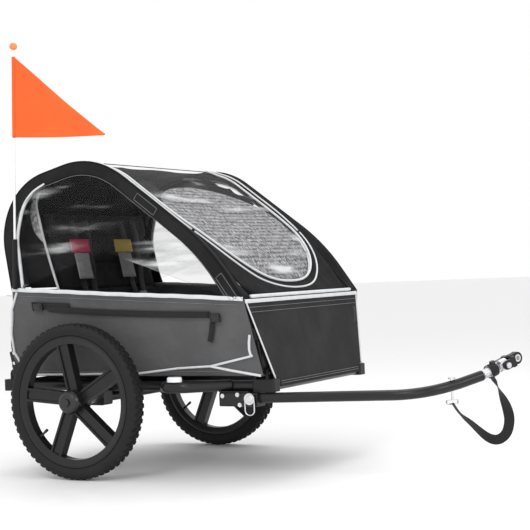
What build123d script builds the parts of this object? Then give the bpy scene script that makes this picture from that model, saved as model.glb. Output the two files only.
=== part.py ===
from build123d import *
import os
from math import cos, hypot, radians, sin

# Child bicycle trailer, in millimetres. +X is forward, +Y the trailer's left, +Z up.
# Z is 0 on the ground. Dimensions along X are stated from the wheel axle, and every
# piece is moved by CENTRE_X when it is written, so that the origin is the middle of
# the whole trailer's footprint.

# ---- driving dimensions ----
WHEEL_R = 203.0  # 16 inch wheel
TYRE_W = 46.0
RIM_R = 170.0
RIM_W = 36.0
TRACK = 708.0  # between the two wheel planes
RAIL_Y = 250.0
RAIL_Z = 235.0
RAIL_R = 14.0
WALL = 1.8  # of every frame tube
REAR_X, FRONT_X = -290.0, 522.0  # centre lines of the two cross tubes
CROSS_R = 12.5
ARCH_R = 12.5
HINGE_Z = {"right": 266.0, "left": 292.0}  # staggered, so that the arches nest when folded
HALF_W = 326.0  # of the cabin from the waist up
WAIST_REAR, WAIST_FRONT = (-219.0, 498.0), (497.0, 455.0)
CLOTH = 3.0
ARCH_INSET = 18.0  # from the cabin's outline to the arch tube's centre line
BAR_R = 12.7
SIDES = {"right": -1, "left": 1}

# The cabin's outline seen from the side: its corners and their radii, rear to front.
OUTLINE = [WAIST_REAR, (-263.0, 766.0), (69.0, 845.0), (399.0, 595.0), WAIST_FRONT]
OUTLINE_R = [180.0, 220.0, 570.0]
COVER_X = 20.0  # the front cover hinges here, at the top of the outline

# The tow bar, on the trailer's right.
BAR = [(405, -262, 204), (925, -262, 217), (985, -164, 234), (1021, -110, 248)]
BAR_BENDS = [130.0, 160.0]
HITCH_DIR = Vector(cos(radians(18)) * cos(radians(60)), cos(radians(18)) * sin(radians(60)), sin(radians(18)))
HITCH_YAW, HITCH_PITCH, HITCH_AXLE = 41.0, 68.0, 114.0  # distances along the hitch from the bar's end
AXLE_BORE_R = 5.25  # for a 10 mm bicycle axle
PIN_X = 481.0

# The hitch is drawn in its own plane: x along the hitch, y across it and level, z up.
HITCH_ACROSS = Vector(0, 0, 1).cross(HITCH_DIR).normalized()
HITCH_UP = HITCH_DIR.cross(HITCH_ACROSS).normalized()
HITCH = Plane(origin=BAR[-1], x_dir=HITCH_DIR, z_dir=HITCH_UP)

ARM_END_R, ARM_HALF = 15.0, 7.0  # the hitch arm's rounded end, and half its thickness
ARM_REACH = ARM_END_R * HITCH_DIR.X / hypot(HITCH_DIR.X, HITCH_DIR.Y) - ARM_HALF * HITCH_ACROSS.X
REAR_PANEL_LOW = (-309.0, 256.0)
FOREMOST = BAR[-1][0] + HITCH_DIR.X * HITCH_AXLE + ARM_REACH
CENTRE_X = (REAR_PANEL_LOW[0] + FOREMOST) / 2

BOTTOM = (Align.CENTER, Align.CENTER, Align.MIN)


# ---- helpers ----
def save(node, *solids):
    """Writes a node's solids, moved so that the trailer's middle is the origin."""
    flat = [s for shape in solids for s in shape.solids()]
    moved = [Pos(-CENTRE_X, 0, 0) * s for s in flat]
    whole = moved[0] if len(moved) == 1 else Compound(children=moved)
    export_step(whole, f"parts/{node}.step")


def box(x0, x1, y0, y1, z0, z1):
    """A box between two corners, whichever way round each pair is given."""
    low = (min(x0, x1), min(y0, y1), min(z0, z1))
    return Pos(*low) * Box(abs(x1 - x0), abs(y1 - y0), abs(z1 - z0), align=(Align.MIN, Align.MIN, Align.MIN))


def rod(start, end, radius):
    """A solid round bar between two points."""
    run = Vector(*end) - Vector(*start)
    return Plane(origin=start, z_dir=run) * Cylinder(radius, run.length, align=BOTTOM)


def pipe(points, bends, radius, wall=WALL):
    """A bent tube along straight runs and arcs."""
    path = FilletPolyline(*points, radius=bends) if len(points) > 2 else Line(*points)
    start = Plane(origin=path @ 0, z_dir=path % 0)
    tube = sweep(start * Circle(radius), path=path)
    return tube - sweep(start * Circle(radius - wall), path=path) if wall else tube


def inset(corners, distance):
    """The outline's corners again, moved that far in; the two ends move square to their own run."""
    lines = []
    for (xa, za), (xb, zb) in zip(corners, corners[1:]):
        run = hypot(xb - xa, zb - za)
        ux, uz = (xb - xa) / run, (zb - za) / run
        lines.append((xa + uz * distance, za - ux * distance, ux, uz, run))
    out = [lines[0][:2]]
    for (xa, za, ua, va, _), (xb, zb, ub, vb, _) in zip(lines, lines[1:]):
        along = ((xb - xa) * vb - (zb - za) * ub) / (ua * vb - va * ub)
        out.append((xa + ua * along, za + va * along))
    x, z, ux, uz, run = lines[-1]
    return out + [(x + ux * run, z + uz * run)]


def outline_face(distance):
    """The cabin's side above the waist, that far inside its outline, as a face in the XZ plane."""
    corners = inset(OUTLINE, distance)
    bends = [r - distance for r in OUTLINE_R]
    edge = FilletPolyline(*[(x, 0, z) for x, z in corners], radius=bends)
    closing = Line((corners[-1][0], 0, corners[-1][1]), (corners[0][0], 0, corners[0][1]))
    return make_face(edge.edges() + closing.edges())


def slab(face, y0, y1):
    """A face of the XZ plane, made solid from y0 to y1."""
    return Pos(0, min(y0, y1), 0) * extrude(face, amount=abs(y1 - y0), dir=(0, 1, 0))


def mirror_y(shape, side):
    """A piece drawn for the left side, on the side that is wanted."""
    return shape if side > 0 else mirror(shape, about=Plane.XZ)


def across(x, z, y0, y1, radius):
    """A round bar along Y."""
    return rod((x, min(y0, y1), z), (x, max(y0, y1), z), radius)


# ---- wheels ----
WHEEL_Y = TRACK / 2
HUB_R, HUB_HALF = 30.0, 27.0
AXLE_R = 6.35
BEARING_R, BEARING_W = 14.0, 10.0
CAP_R, CAP_Y = 31.0, 13.0  # the hub cap's radius, and its thickness outside the hub
SPOKES, FIRST_SPOKE = 5, 96.4  # degrees
BUTTON_R, BUTTON_TRAVEL = 9.0, 4.0
VALVE_TURN = 232.0  # degrees about the axle, from straight up towards +X


def ring(outer, inner, y0, y1):
    """A flat ring about the wheel's axle."""
    low, high = min(y0, y1), max(y0, y1)
    return across(0, WHEEL_R, low, high, outer) - across(0, WHEEL_R, low - 1, high + 1, inner)


def turned(points):
    """A solid of revolution about the axle, from (radius, y) corners drawn on the wheel plane."""
    profile = make_face(Polyline(*[(r, y, 0) for r, y in points], close=True))
    solid = revolve(profile, axis=Axis.Y)
    return Pos(0, WHEEL_Y, WHEEL_R) * solid


def tyre():
    half = TYRE_W / 2
    bead = RIM_R - 6
    section = [
        (bead, -15), (RIM_R + 0.5, -15), (bead + 10, -20), (bead + 20, -half), (WHEEL_R - 12, -half + 1), (WHEEL_R - 4, -half + 7),
        (WHEEL_R, -8), (WHEEL_R, 8), (WHEEL_R - 4, half - 7), (WHEEL_R - 12, half - 1), (bead + 20, half),
        (bead + 10, 20), (RIM_R + 0.5, 15), (bead, 15), (bead, 11.5), (bead + 9, 15), (WHEEL_R - 14, 17), (WHEEL_R - 8, 9),
        (WHEEL_R - 8, -9), (WHEEL_R - 14, -17), (bead + 9, -15), (bead, -11.5),
    ]
    return turned(section)


def inner_tube():
    at = RIM_R + 11.5
    section = Plane.XY * Pos(at, 0) * Circle(7.5)
    return Pos(0, WHEEL_Y, WHEEL_R) * revolve(section, axis=Axis.Y)


def spoke(angle):
    """One swept spoke: a tapered arm with two ribs and a channel between them, on both faces."""
    def arm(grow, thick):
        root, tip = 20.0 + grow, 15.0 + grow
        lean = 16.0
        corners = [(22, -root), (RIM_R - 17, lean - tip - 6), (RIM_R - 15, lean + tip), (22, root - 6)]
        return extrude(make_face(Polyline(*corners, close=True)), amount=thick / 2, both=True)
    channel = arm(-6.0, 8.0)
    one = arm(0, 26) - Pos(0, 0, 13) * channel - Pos(0, 0, -13) * channel
    upright = Plane(origin=(0, WHEEL_Y, WHEEL_R), x_dir=(1, 0, 0), z_dir=(0, -1, 0))
    return upright * Rot(0, 0, angle) * one


def rim(side):
    half = RIM_W / 2
    bead = RIM_R - 6.2
    well = [
        (RIM_R - 20, -half + 5), (RIM_R - 20, half - 5), (RIM_R - 6, half), (RIM_R, half), (RIM_R, half - 2.5),
        (bead - 0.2, half - 2.8), (bead - 0.2, 10.8), (RIM_R - 14, 9), (RIM_R - 14, -9), (bead - 0.2, -10.8),
        (bead - 0.2, -half + 2.8), (RIM_R, -half + 2.5), (RIM_R, -half), (RIM_R - 6, -half),
    ]
    wheel = turned(well) + ring(HUB_R, AXLE_R + 1, WHEEL_Y - HUB_HALF, WHEEL_Y + HUB_HALF)
    inside = across(0, WHEEL_R, WHEEL_Y - 20, WHEEL_Y + 20, RIM_R - 16)
    for k in range(SPOKES):
        wheel += spoke(FIRST_SPOKE - 360 / SPOKES * k) & inside
    wheel -= across(0, WHEEL_R, WHEEL_Y - HUB_HALF - 1, WHEEL_Y + HUB_HALF + 1, AXLE_R + 1)
    for end in (-1, 1):
        face = WHEEL_Y + end * HUB_HALF
        wheel -= across(0, WHEEL_R, face - end * BEARING_W, face + end, BEARING_R)
    wheel -= Pos(0, WHEEL_Y, WHEEL_R) * Rot(0, VALVE_TURN, 0) * Pos(0, 0, RIM_R - 17) * Cylinder(4.2, 26)
    return mirror_y(wheel, side)


def valve():
    stem = Cylinder(3.2, 34, align=BOTTOM) + Pos(0, 0, -3) * Cylinder(4.0, 8, align=BOTTOM)
    return Pos(0, WHEEL_Y, WHEEL_R) * Rot(0, VALVE_TURN, 0) * Pos(0, 0, RIM_R - 44) * stem


def bearing(face, end):
    return ring(BEARING_R - 0.1, AXLE_R + 0.05, face - end * BEARING_W, face)


def hub_cap():
    out = WHEEL_Y + HUB_HALF + 0.5
    profile = [(BUTTON_R + 1.0, out), (CAP_R, out), (CAP_R, out + 3), (CAP_R - 4, out + CAP_Y - 3),
               (CAP_R - 10, out + CAP_Y), (BUTTON_R + 1.0, out + CAP_Y)]
    face = make_face(Polyline(*[(r, y - WHEEL_Y, 0) for r, y in profile], close=True))
    return Pos(0, WHEEL_Y, WHEEL_R) * revolve(face, axis=Axis.Y)


def axle():
    """A quick-release stub from the beam's socket out to the push button."""
    end = WHEEL_Y + HUB_HALF + 1.0
    pin = across(0, WHEEL_R, AXLE_SOCKET_Y, end, AXLE_R)
    collar = ring(12.0, AXLE_R - 1, BEAM_Y + 0.5, WHEEL_Y - HUB_HALF - 1.0)
    return pin + collar


def axle_button():
    start = WHEEL_Y + HUB_HALF + BUTTON_TRAVEL + 2.0
    stop = WHEEL_Y + HUB_HALF + CAP_Y + BUTTON_TRAVEL
    return across(0, WHEEL_R, start, stop, BUTTON_R)


# ---- chassis ----
BEAM_Y = 244.0
AXLE_SOCKET_Y = 170.0


def rail(side):
    return pipe([(REAR_X + 16, side * RAIL_Y, RAIL_Z), (FRONT_X - 16, side * RAIL_Y, RAIL_Z)], None, RAIL_R)


def cross_tube(x):
    return pipe([(x, -RAIL_Y - 8, RAIL_Z), (x, RAIL_Y + 8, RAIL_Z)], None, CROSS_R)


def corner(x, inward, side):
    """A moulded corner that holds a rail and a cross tube, with two lugs for the arch's hinge."""
    hinge = HINGE_Z["left" if side > 0 else "right"]
    foot = ARCH_FEET[x]
    ends = (x - inward * 18, x + inward * 44)
    y0, y1 = side * (RAIL_Y - 18), side * (RAIL_Y + 18)
    block = box(*ends, y0, y1, RAIL_Z - RAIL_R, RAIL_Z + 17)
    block = fillet(block.edges().filter_by(Axis.Z), 6)
    for step in (-1, 1):
        near, far = foot + step * 14, foot + step * 20
        lug = box(near, far, side * RAIL_Y - 13, side * RAIL_Y + 13, RAIL_Z + 12, hinge)
        block += lug + rod((near, side * RAIL_Y, hinge), (far, side * RAIL_Y, hinge), 13)
    block -= rod((foot - 30, side * RAIL_Y, hinge), (foot + 30, side * RAIL_Y, hinge), HINGE_PIN_R + 0.02)
    block -= rod((x + inward * 15.9, side * RAIL_Y, RAIL_Z), (x + inward * 60, side * RAIL_Y, RAIL_Z), RAIL_R + 0.1)
    block -= rod((x, y0 - side * 5, RAIL_Z), (x, side * (RAIL_Y + 8.1), RAIL_Z), CROSS_R + 0.1)
    return block


HINGE_PIN_R = 4.0
ARCH_FEET = {REAR_X: -268.0, FRONT_X: 502.0}


def axle_bracket(side):
    """The clamp under the rail that the axle beam hangs from."""
    plate = box(-16, 28, side * (RAIL_Y - 20), side * (RAIL_Y + 20), 184, RAIL_Z + 4)
    plate = fillet(plate.edges().filter_by(Axis.Y), 5)
    plate -= rod((-40, side * RAIL_Y, RAIL_Z), (60, side * RAIL_Y, RAIL_Z), RAIL_R + 0.1)
    plate -= box(-60, 60, side * (RAIL_Y - 12), side * (RAIL_Y + 12), RAIL_Z, RAIL_Z + 30)
    plate -= across(0, WHEEL_R, side * (RAIL_Y - 30), side * (RAIL_Y - 6), 14.1)
    return plate - across(0, WHEEL_R, side * (RAIL_Y - 30), side * (RAIL_Y + 30), AXLE_R + 6.2)


def axle_beam():
    tube = across(0, WHEEL_R, -BEAM_Y, BEAM_Y, 14.0)
    tube -= across(0, WHEEL_R, -AXLE_SOCKET_Y, AXLE_SOCKET_Y, 12.0)
    return tube - across(0, WHEEL_R, -BEAM_Y - 1, BEAM_Y + 1, AXLE_R + 0.05)


GUARD_Z = 238.0
GUARD = [(412, 258), (322, 338), (262, 338), (240, 258)]
GUARD_BENDS = [30.0, 30.0]


def wheel_guard(side):
    """The bent tube that stands out from the rail in front of the wheel."""
    loop = pipe([(x, side * y, GUARD_Z) for x, y in GUARD], GUARD_BENDS, RAIL_R)
    return loop - rod((100, side * RAIL_Y, RAIL_Z), (600, side * RAIL_Y, RAIL_Z), RAIL_R + 0.1)


def guard_reflector(side):
    """The oval reflector that sits on the guard's outer bend."""
    oval = Pos(296, side * 338, GUARD_Z + RAIL_R + 0.1) * extrude(Ellipse(21, 13), amount=13)
    return fillet(oval.faces().sort_by(Axis.Z)[-1].edges(), 5)


# ---- folding arches ----
def arch_points(side):
    """The arch's centre line: up from its rear foot, over the cabin and down to its front foot."""
    hinge = HINGE_Z["left" if side > 0 else "right"]
    top = [(x, side * ARCH_Y, z) for x, z in inset(OUTLINE, ARCH_INSET)]
    rear, front = ARCH_FEET[REAR_X], ARCH_FEET[FRONT_X]
    low = side * RAIL_Y
    return [(rear, low, hinge), (rear, low, hinge + 26), *top, (front, low, hinge + 26), (front, low, hinge)]


ARCH_Y = 309.0
EYE_R = 13.2
ARCH_BENDS = [60.0, 60.0] + [r - ARCH_INSET for r in OUTLINE_R] + [60.0, 60.0]


def arch(side):
    hinge = HINGE_Z["left" if side > 0 else "right"]
    tube = pipe(arch_points(side), ARCH_BENDS, ARCH_R)
    for foot in ARCH_FEET.values():
        tube += rod((foot - 13, side * RAIL_Y, hinge), (foot + 13, side * RAIL_Y, hinge), EYE_R)
        tube -= rod((foot - 30, side * RAIL_Y, hinge), (foot + 30, side * RAIL_Y, hinge), HINGE_PIN_R + 0.05)
    return tube


def hinge_pins():
    pins = []
    for name, side in SIDES.items():
        for foot in ARCH_FEET.values():
            start, end = (foot - 21, side * RAIL_Y, HINGE_Z[name]), (foot + 21, side * RAIL_Y, HINGE_Z[name])
            pins.append(rod(start, end, HINGE_PIN_R))
    return pins


# ---- cabin ----
BAND_Y = 287.0  # the slope's side bands start here
FLARE = 0.248  # how fast the lower side closes in below the waist
SIDE_HEM = 262.0


def shell(y0, y1, x0, x1):
    """A strip of the cabin's outer cloth between two stations along the trailer."""
    strip = slab(outline_face(0), y0, y1) - slab(outline_face(CLOTH), min(y0, y1) - 1, max(y0, y1) + 1)
    above_waist = box(x0, x1, y0, y1, WAIST_FRONT[1] + 3, 900)
    return (strip & above_waist).solids().sort_by(Axis.Z)[-1]


def roof_panel():
    """The back and the roof, from the waist up and over to the cover's hinge."""
    strip = slab(outline_face(0), -HALF_W + 3, HALF_W - 3)
    strip -= slab(outline_face(CLOTH), -HALF_W, HALF_W)
    keep = box(-400, COVER_X - 3, -HALF_W, HALF_W, WAIST_REAR[1] + 4, 900)
    return (strip & keep).solids().sort_by(Axis.Z)[-1]


def side_band(side):
    return shell(side * BAND_Y, side * (HALF_W - 3), COVER_X, 600)


def front_cover():
    return shell(-BAND_Y + 1, BAND_Y - 1, COVER_X + 2, 600)


def side_window(side):
    return slab(outline_face(1.0), side * (HALF_W - 2.5), side * (HALF_W + 0.5))


def waist_z(x):
    """The height of the waist line, which falls a little towards the front."""
    (x0, z0), (x1, z1) = WAIST_REAR, WAIST_FRONT
    return z0 + (z1 - z0) * (x - x0) / (x1 - x0)


def side_y(x, z):
    """How far out the flared side's outer face is."""
    return HALF_W + 0.5 - FLARE * (waist_z(x) - z)


def side_panel(side):
    """The flared lower side, between the rail and the waist."""
    front, rear = WAIST_FRONT[0] - 1, WAIST_REAR[0] + 3
    corners = [(-262, SIDE_HEM), (522, SIDE_HEM), (front, waist_z(front) - 2), (rear, waist_z(rear) - 2), (-284, 320)]
    face = make_face(Polyline(*[(x, side * side_y(x, z), z) for x, z in corners], close=True))
    return extrude(face, amount=CLOTH, dir=(0, -side, 0))


def end_panel(low, high, half_low, half_high, notch):
    """A panel across the front or back: narrow between the corner blocks, then widening to the waist."""
    (x0, z0), (x1, z1) = low, high
    height = hypot(x1 - x0, z1 - z0)
    up = Vector((x1 - x0) / height, 0, (z1 - z0) / height)
    plane = Plane(origin=(x0, 0, z0), x_dir=(0, 1, 0), z_dir=Vector(0, 1, 0).cross(up))
    half = [(half_low, 0), (half_low, notch), (half_low + 22, notch + 3), (half_high, height)]
    corners = half + [(-y, z) for y, z in reversed(half)]
    face = plane * make_face(Polyline(*corners, close=True))
    return extrude(face, amount=CLOTH, dir=(-1 if x0 > 0 else 1, 0, 0))


SEAT_FRONT, SEAT_REAR, SEAT_Z = 190.0, -105.0, 330.0
SEAT_TOP = (-158.0, 715.0)
SEAT_LOW = (-96.0, 342.0)
SEAT_HALF = 238.0
PAD = 28.0


def seat_base():
    pad = box(SEAT_REAR, SEAT_FRONT, -SEAT_HALF, SEAT_HALF, SEAT_Z - PAD, SEAT_Z)
    return fillet(pad.edges().filter_by(Axis.Y), 10)


def seat_plane(lift=0.0):
    """The seat back's front face, with y up along the back and z out of it."""
    run = Vector(SEAT_TOP[0] - SEAT_LOW[0], 0, SEAT_TOP[1] - SEAT_LOW[1]).normalized()
    out = Vector(0, 1, 0).cross(run)
    return Plane(origin=Vector(SEAT_LOW[0], 0, SEAT_LOW[1]) + out * lift, x_dir=(0, 1, 0), z_dir=out)


def seat_back():
    length = hypot(SEAT_TOP[0] - SEAT_LOW[0], SEAT_TOP[1] - SEAT_LOW[1])
    pad = Pos(0, length / 2, -PAD / 2) * Box(2 * SEAT_HALF, length, PAD)
    pad = fillet(pad.edges().filter_by(Axis.X), 10)
    return seat_plane() * pad


HARNESS_Y, HARNESS_GAP, WEB = 118.0, 62.0, 25.0


def harness(side):
    """Two shoulder straps, a lap strap and a crotch strap, lying on the seat."""
    straps = [Pos(side * HARNESS_Y + k * HARNESS_GAP / 2, 180, 1.5) * Box(WEB, 270, 2) for k in (-1, 1)]
    straps.append(Pos(side * HARNESS_Y, 42, 1.5) * Box(180, WEB, 2))
    crotch = box(SEAT_REAR + 50, SEAT_REAR + 140, side * HARNESS_Y - WEB / 2, side * HARNESS_Y + WEB / 2,
                 SEAT_Z + 0.5, SEAT_Z + 2.5)
    return [seat_plane() * s for s in straps] + [crotch]


def harness_buckle(side):
    block = Box(62, 44, 14)
    block = fillet(block.edges().filter_by(Axis.Z), 9)
    return seat_plane() * Pos(side * HARNESS_Y, 112, 10) * block


STRAP_ENDS = ((-111.0, 436.0), (400.0, 422.0))  # x and z of the strap's ends
STRAP_W = 12.0


def on_side(side, x, z, out):
    """A plane on the flared side: x forward along the waist, y up the cloth or down, z out of it."""
    along = Vector(WAIST_FRONT[0] - WAIST_REAR[0], 0, WAIST_FRONT[1] - WAIST_REAR[1]).normalized()
    up = Vector(0, side * FLARE, 1)
    normal = (along.cross(up) * -side).normalized()
    return Plane(origin=Vector(x, side * side_y(x, z), z) + normal * out, x_dir=along, z_dir=normal)


def side_strap(side):
    (x0, z0), (x1, z1) = STRAP_ENDS
    return on_side(side, (x0 + x1) / 2, (z0 + z1) / 2, 1.4) * Box(x1 - x0, STRAP_W, 1.6)


def side_buckles(side):
    (x0, z0), (x1, z1) = STRAP_ENDS
    block = fillet(Box(30, 22, 7).edges().filter_by(Axis.Z), 4)
    return [on_side(side, x, z, 4.4) * block for x, z in ((x0 - 19, z0 + 4), (x1 + 17, z1 - 5))]


# ---- flag ----
POLE_LOW, POLE_TOP = (-200.0, -335.0, 506.0), (-173.0, -335.0, 1148.0)
POLE_R = 3.25
FLAG_LENGTH = 300.0


def on_pole(z):
    share = (z - POLE_LOW[2]) / (POLE_TOP[2] - POLE_LOW[2])
    return Vector(*POLE_LOW) + (Vector(*POLE_TOP) - Vector(*POLE_LOW)) * share


def flag():
    top, low = on_pole(1121), on_pole(905)
    tip = Vector(low.X + FLAG_LENGTH, low.Y, low.Z - 20)
    gap = Vector(POLE_R + 0.8, 0, 0)
    face = make_face(Polyline(top + gap, low + gap, tip, close=True))
    return Pos(0, -0.6, 0) * extrude(face, amount=1.2, dir=(0, 1, 0))


def flag_sleeve():
    start, end = on_pole(500), on_pole(633)
    return rod(start, end, 6.2) - rod(on_pole(504), on_pole(640), POLE_R + 0.08)


# ---- tow bar and hitch ----
STRAP_PIN = Vector(BAR[1][0], BAR[1][1], BAR[1][2]) * 0.2 + Vector(*BAR[2]) * 0.8
RECEIVER_BOLTS = [(403, 213), (446, 216), (452, 191)]
RING_DROP = 38.0


def bar_hole():
    return across(PIN_X, BAR[0][2] + 1.9, -300, -220, 4.05)


def tow_bar():
    bar = pipe(BAR, BAR_BENDS, BAR_R) - bar_hole()
    drop = Vector(0, 0, 30)
    return bar - rod(STRAP_PIN - drop, STRAP_PIN + drop, 3.05)


def receiver():
    """The socket under the right rail that the tow bar slides into."""
    block = box(391, 500, -283, -241, 186, 220.5)
    block = fillet(block.edges().filter_by(Axis.X), 5) + box(391, 472, -276, -243, 214, 223.5)
    block -= pipe(BAR, BAR_BENDS, BAR_R + 0.1, wall=0)
    block -= rod((300, -RAIL_Y, RAIL_Z), (600, -RAIL_Y, RAIL_Z), RAIL_R + 0.1)
    for x, z in RECEIVER_BOLTS:
        block -= across(x, z, -284, -277.5, 3.0)
    return block - bar_hole()


def receiver_bolts():
    return [across(x, z, -288, -283.1, 5.5) + across(x, z, -284, -278, 2.9) for x, z in RECEIVER_BOLTS]


def hitch_pin():
    z = BAR[0][2] + 1.9
    head = across(PIN_X, z, -293, -284, 9)
    return across(PIN_X, z, -290, -232, 4.0) + fillet(head.edges().sort_by(Axis.Y)[0], 2)


def wire_lock():
    """The spring wire that hangs from the pin's head."""
    z = BAR[0][2] + 1.9
    route = [(PIN_X - 13, -289, z), (PIN_X - 13, -289, 166), (PIN_X + 13, -289, 166), (PIN_X + 13, -289, z)]
    loop = pipe(route, [12.0, 12.0], 1.5, wall=0)
    return loop + (across(PIN_X, z, -290.5, -287.5, 14.5) - across(PIN_X, z, -295, -280, 9.1))


def strap_pin():
    low, high = STRAP_PIN - Vector(0, 0, 32), STRAP_PIN + Vector(0, 0, BAR_R + 3)
    return rod(low, high, 3.0) + rod(high, high + Vector(0, 0, 4), 8.5)


def strap_ring():
    """The wire ring that the safety strap hangs from, under the bar."""
    along = (Vector(*BAR[2]) - Vector(*BAR[1])).normalized()
    level = Vector(along.X, along.Y, 0).normalized()
    plane = Plane(origin=STRAP_PIN - Vector(0, 0, RING_DROP), x_dir=level, z_dir=level.cross(Vector(0, 0, 1)))
    frame = RectangleRounded(36, 12, 4) - RectangleRounded(30, 6.5, 2)
    return plane * extrude(frame, amount=2, both=True)


def safety_strap():
    """Webbing that hangs from the ring in a loop and comes back up to the hitch's neck."""
    top = STRAP_PIN - Vector(0, 0, RING_DROP + 9)
    route = [(top.X, top.Y, top.Z), (1012, -166, 140), (1040, -140, 106), (1072, -112, 114),
             (1080, -95, 150), (1062, -88, 205), (1052, -83, 232)]
    path = FilletPolyline(*route, radius=[60.0, 26.0, 16.0, 22.0, 60.0])
    web = Plane(origin=path @ 0, x_dir=(0.5, 0.87, 0), z_dir=path % 0) * Rectangle(8, 3)
    return sweep(web, path=path)


def flex_spring():
    """The close-wound spring between the bar and the hitch."""
    core = HITCH * Pos(2, 0, 0) * Rot(0, 90, 0) * Cylinder(9.6, 22, align=BOTTOM)
    for k in range(5):
        core += HITCH * Pos(4.9 + 4.1 * k, 0, 0) * Rot(0, 90, 0) * Torus(9.6, 2.2)
    return core


def hitch_fork():
    """The fixed fork at the spring's end, with an ear above and below the tongue."""
    disc = Pos(24, 0, 0) * Rot(0, 90, 0) * Cylinder(15, 5, align=BOTTOM)
    for step in (-1, 1):
        ear = Pos(28, 0, step * 10.4) * Box(13, 20, 4.6, align=(Align.MIN, Align.CENTER, Align.CENTER))
        disc += ear + Pos(HITCH_YAW, 0, step * 10.4) * Cylinder(10, 4.6)
    return HITCH * (disc - Pos(HITCH_YAW, 0, 0) * Cylinder(3.02, 60))


def neck_band():
    band = Cylinder(18.5, 4.4, align=BOTTOM) - Cylinder(16.4, 4.4, align=BOTTOM)
    return HITCH * Pos(29.2, 0, 0) * Rot(0, 90, 0) * band


def yaw_pin():
    pin = Cylinder(3.0, 27)
    knob = Pos(0, 0, 13.5) * Cylinder(7, 8, align=BOTTOM)
    return HITCH * Pos(HITCH_YAW, 0, 0) * (pin + fillet(knob.edges().sort_by(Axis.Z)[-1], 2.5))


def hitch_swivel():
    """The tongue and barrel that turn on the upright pin."""
    tongue = Cylinder(9, 15.4) + Pos(10, 0, 0) * Box(20, 18, 15.4)
    barrel = Pos(17, 0, 0) * Rot(0, 90, 0) * Cylinder(14.5, 20, align=BOTTOM)
    piece = Pos(HITCH_YAW, 0, 0) * (tongue + barrel)
    piece -= Pos(HITCH_YAW, 0, 0) * Cylinder(3.05, 60)
    return HITCH * (piece - Pos(HITCH_PITCH, 0, 0) * Rot(90, 0, 0) * Cylinder(4.02, 60))


def pitch_bolt():
    shank = Cylinder(4.0, 46) + Pos(0, 0, 22) * Cylinder(7, 5, align=BOTTOM)
    return HITCH * Pos(HITCH_PITCH, 0, 0) * Rot(90, 0, 0) * shank


def hitch_arm():
    """The arm that bolts to the bicycle's rear axle."""
    bridge = 92.0
    piece = Pos(bridge, 0, 0) * Box(10, 41, 26)
    for step in (-1, 1):
        cheek = Pos(HITCH_PITCH, step * 18, 0) * Rot(90, 0, 0) * Cylinder(11, 5)
        piece += cheek + Pos((HITCH_PITCH + bridge) / 2, step * 18, 0) * Box(bridge - HITCH_PITCH, 5, 22)
    piece += Pos((bridge + HITCH_AXLE) / 2, 0, 0) * Box(HITCH_AXLE - bridge, 2 * ARM_HALF, 2 * ARM_END_R - 1)
    piece += Pos(HITCH_AXLE, 0, 0) * Rot(90, 0, 0) * Cylinder(ARM_END_R, 2 * ARM_HALF)
    piece -= Pos(HITCH_PITCH, 0, 0) * Rot(90, 0, 0) * Cylinder(4.05, 60)
    return HITCH * (piece - Pos(HITCH_AXLE, 0, 0) * Rot(90, 0, 0) * Cylinder(9.0, 60))


def axle_bushing():
    ring_ = Cylinder(8.98, 17) - Cylinder(AXLE_BORE_R, 17)
    return HITCH * Pos(HITCH_AXLE, 0, 0) * Rot(90, 0, 0) * ring_


# ---- write every node ----
os.makedirs("parts", exist_ok=True)
BOTH = tuple(SIDES.values())

for name, side in SIDES.items():
    faces = [(WHEEL_Y + end * HUB_HALF, end) for end in (-1, 1)]
    save(f"{name}_tyre", mirror_y(tyre(), side))
    save(f"{name}_inner_tube", mirror_y(inner_tube(), side), mirror_y(valve(), side))
    save(f"{name}_rim", rim(side))
    save(f"{name}_bearings", *[mirror_y(bearing(face, end), side) for face, end in faces])
    save(f"{name}_hub_cap", mirror_y(hub_cap(), side))
    save(f"{name}_axle", mirror_y(axle(), side))
    save(f"{name}_axle_button", mirror_y(axle_button(), side))
    save(f"{name}_rail", rail(side))
    save(f"{name}_arch", arch(side))
    save(f"{name}_side_window", side_window(side))
    save(f"{name}_side_panel", side_panel(side))

save("rear_cross_tube", cross_tube(REAR_X))
save("front_cross_tube", cross_tube(FRONT_X))
save("rear_corners", *[corner(REAR_X, 1, side) for side in BOTH])
save("front_corners", *[corner(FRONT_X, -1, side) for side in BOTH])
save("hinge_pins", *hinge_pins())
save("axle_beam", axle_beam())
save("axle_brackets", *[axle_bracket(side) for side in BOTH])
save("wheel_guards", *[wheel_guard(side) for side in BOTH])
save("guard_reflectors", *[guard_reflector(side) for side in BOTH])

save("roof_panel", roof_panel())
save("side_bands", *[side_band(side) for side in BOTH])
save("front_cover", front_cover())
save("front_panel", end_panel((541, 232), (500, 451), 230, 318, 26))
save("rear_panel", end_panel(REAR_PANEL_LOW, (-223, 494), 230, 318, 62))
save("floor_panel", box(-276, 508, -229, 229, 228, 232))
save("seat_base", seat_base())
save("seat_back", seat_back())
save("harnesses", *[strap for side in BOTH for strap in harness(side)])
save("harness_buckles", *[harness_buckle(side) for side in BOTH])
save("side_straps", *[side_strap(side) for side in BOTH])
save("side_buckles", *[block for side in BOTH for block in side_buckles(side)])

save("flag_pole", rod(POLE_LOW, POLE_TOP, POLE_R) + Pos(*POLE_TOP) * Sphere(10))
save("flag", flag())
save("flag_sleeve", flag_sleeve())

save("tow_receiver", receiver())
save("receiver_bolts", *receiver_bolts())
save("hitch_pin", hitch_pin())
save("wire_lock", wire_lock())
save("tow_bar", tow_bar())
save("strap_ring", strap_pin(), strap_ring())
save("safety_strap", safety_strap(), neck_band())
save("flex_spring", flex_spring())
save("hitch_fork", hitch_fork())
save("yaw_pin", yaw_pin())
save("hitch_swivel", hitch_swivel())
save("pitch_bolt", pitch_bolt())
save("hitch_arm", hitch_arm())
save("axle_bushing", axle_bushing())
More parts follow.
